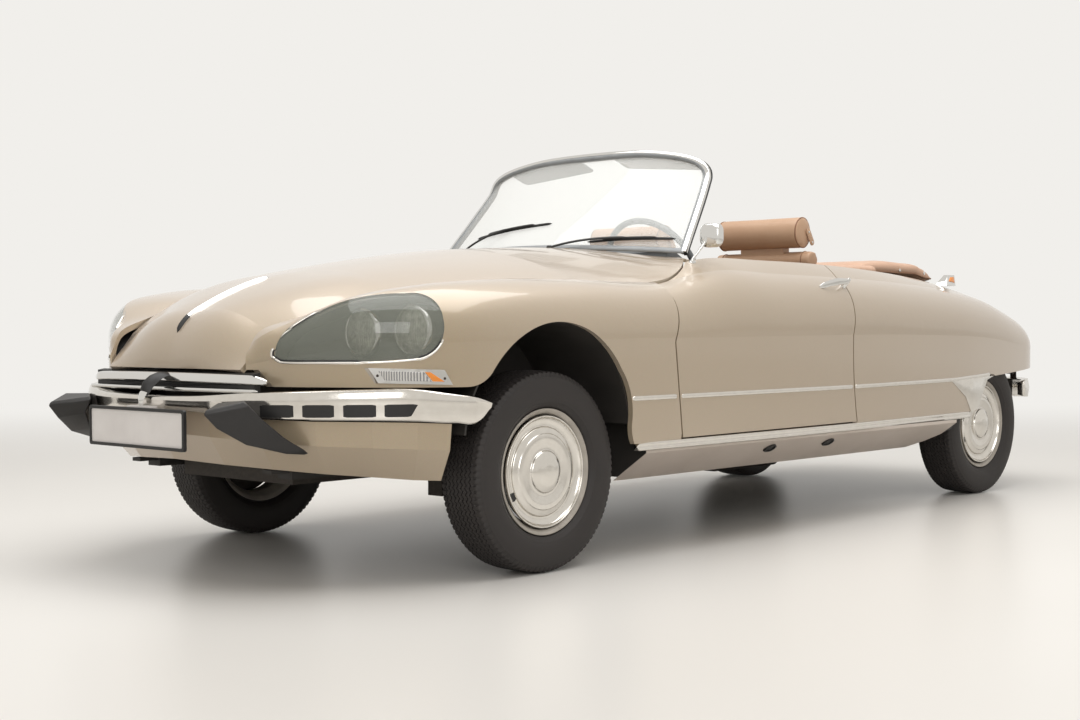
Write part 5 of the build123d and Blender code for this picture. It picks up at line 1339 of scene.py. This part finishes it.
shader = add(tree, "ShaderNodeBsdfPrincipled", Base_Color=tone.outputs["Color"], Roughness=0.5,
             Normal=relief.outputs["Normal"])
tree.links.new(shader.outputs["BSDF"], out.inputs["Surface"])

COVER_VOXEL = 0.017
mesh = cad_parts["hood_cover"].data.copy()
work = bmesh.new()
work.from_mesh(mesh)
bmesh.ops.remove_doubles(work, verts=work.verts, dist=1e-5)
work.to_mesh(mesh)
work.free()
mesh = remeshed(mesh, COVER_VOXEL)
work = bmesh.new()
work.from_mesh(mesh)
for _ in range(6):
    bmesh.ops.smooth_vert(work, verts=work.verts, factor=0.5, use_axis_x=True, use_axis_y=True,
                          use_axis_z=True)
# pleats: shallow sewn valleys across the front of the top, 70 mm apart, dying out by station 2560
for vert in work.verts:
    station = (vert.co.y - FRONT_AXLE_Y) * 1000
    fade = np.clip((2600 - station) / 240, 0, 1) * np.clip((vert.co.z - 1.03) / 0.03, 0, 1)
    vert.co.z -= 0.0035 * fade * (1 - abs(math.sin(math.pi * vert.co.x / 0.075)) ** 0.5)
work.to_mesh(mesh)
work.free()
cover = shaded("hood_cover_cloth", mesh, cover_cloth)
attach(cover, "body")
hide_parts("hood_cover")
blown([cover], 0.005, 2.0)
for sign, hand in SIDES:
    foot = [(588 * sign, s, np.interp(s, [2330, 2560, 2800, 2930], [1032, 1030, 1020, 1006]))
            for s in np.linspace(2332, 2936, 60)]
    stitched(f"cover_piping_{hand}", cover, foot, seam_shade_hide, 0.004)
    tree = mesh_tree(cover.data)
    for n, s in enumerate((2420, 2640, 2860)):
        near = tree.find_nearest(Vector(placed((600 * sign, s, 1040))))
        up = np.array(near[1])
        flat = np.cross(up, [0, 1.0, 0])
        flat /= np.linalg.norm(flat)
        round_stack(f"cover_stud_{hand}_{n}", near[0], flat, (0, 1, 0), up,
                    ((-1, 7.5), (1.5, 7.5), (3, 5), (3.2, 0.2)), 28, bright_chrome, "body")

# ---- Quarter cappings -----------------------------------------------------------------------------
# Rolled and pleated tan cappings over the inner top edges of the rear wings, from the doors back to
# the hood cover: stiff board under leathercloth, so their pleats keep their place.
for sign, hand in SIDES:
    station = np.linspace(1886, 2336, 120)
    line = placed(np.stack([np.interp(station, [1886, 2336], [622, 604]) * sign, station,
                            np.interp(station, [1886, 2000, 2336], [1026, 1031, 1037])], 1))
    pleat = 1 - 0.07 * (1 - np.abs(np.sin(np.pi * (station - 1886) / 52)) ** 0.5)
    capping = moulding(f"quarter_capping_{hand}", line, [0.0, 0.0, 1.0],
                       half_round(0.038, 0.024, 0.030, 15), cover_cloth, "body", (0.03, 0.004), pleat, 70)

# ---- Rear bumper, lamps and indicators --------------------------------------------------------
# A pressed stainless bumper in two curved halves on irons, red lamps let into the wings' tails,
# and high indicators in chrome housings on the wings' crests. The rear plate is blank.
softened("rear_bumper", "rear_bumper_bar", polished_stainless, "body", 0.003, 3, 24)
# Moulded acrylic, red right through, with fine ribs inside.
ruby = finish("ruby_lamp_plastic", ("#7E1512", "#B02620"), dict(Scale=80.0, Distortion=0.3), 0.14,
              kind="Wave", settings={"bands_direction": "Z"}, Coat_Weight=0.6)
dress(ruby, "tail_lamps")
housing = softened("rear_indicators", "indicator_housings", bright_chrome, "body", 0.0015, 2, 24)
search = mesh_tree(housing.data)
for sign, hand in SIDES:
    window = np.array([(2946, 1000), (2976, 1020), (3006, 1021), (3003, 994)], float)
    share = np.linspace(0, 1, 9)[:, None]
    edge = np.concatenate([window[k] * (1 - share) + window[(k + 1) % 4] * share for k in range(4)])
    middle = window.mean(0)
    rings = []
    for grow, lift in ((1.0, -0.002), (1.0, 0.0018), (0.9, 0.0030), (0.4, 0.0034), (0.01, 0.0035)):
        starts = placed([(900 * sign, *(middle + (point - middle) * grow)) for point in edge])
        hits = [search.ray_cast(Vector(start), Vector((-sign, 0, 0)))[0] for start in starts]
        kept = [hit for hit in hits if hit]
        mean_x = float(np.mean([hit.x for hit in kept])) if kept else 0.655 * sign
        rings.append([[(hit.x if hit else mean_x) + lift * sign, start[1], start[2]] for hit,
                      start in zip(hits, starts)])
    piece(f"rear_indicator_window_{hand}", rings, rod_faces(5, 36), amber, "body")

# blank rear plate, screwed to the tail panel
outer = plate_ring(510, 76, 8)
layers = [(outer, 3786.4), (outer, 3788.4), (outer * 0.985, 3789.0), (outer * 0.02, 3789.0)]
plate = piece("rear_plate", facing_rings(layers, 0, 577), grid_faces(4, 32, False, True) + [list(range(32))],
              plate_white, "body", 40)

# ---- Bumper strips ----------------------------------------------------------------------------
# A thin strip of dark brown rubber ahead of each end of the rear bumper, where it wraps the wing;
# it is glued along the bumper's front edge and fills the gap to the lacquer.

# Rubber sheet with fabric in it, brown with road dust.
flap_rubber = finish("brown_flap_rubber", ("#3A3330", "#5B4E47"), dict(Scale=16.0, Detail=5.0), 0.7)
for sign, hand in SIDES:
    outline = [(604, 560), (606, 436), (574, 436), (572, 560)]
    strip = np.stack([placed([(x * sign, s, z) for x, z in outline]) for s in (3730, 3734)])
    made = piece(f"bumper_strip_{hand}", strip, rod_faces(2, 4), flap_rubber, "body", 30)
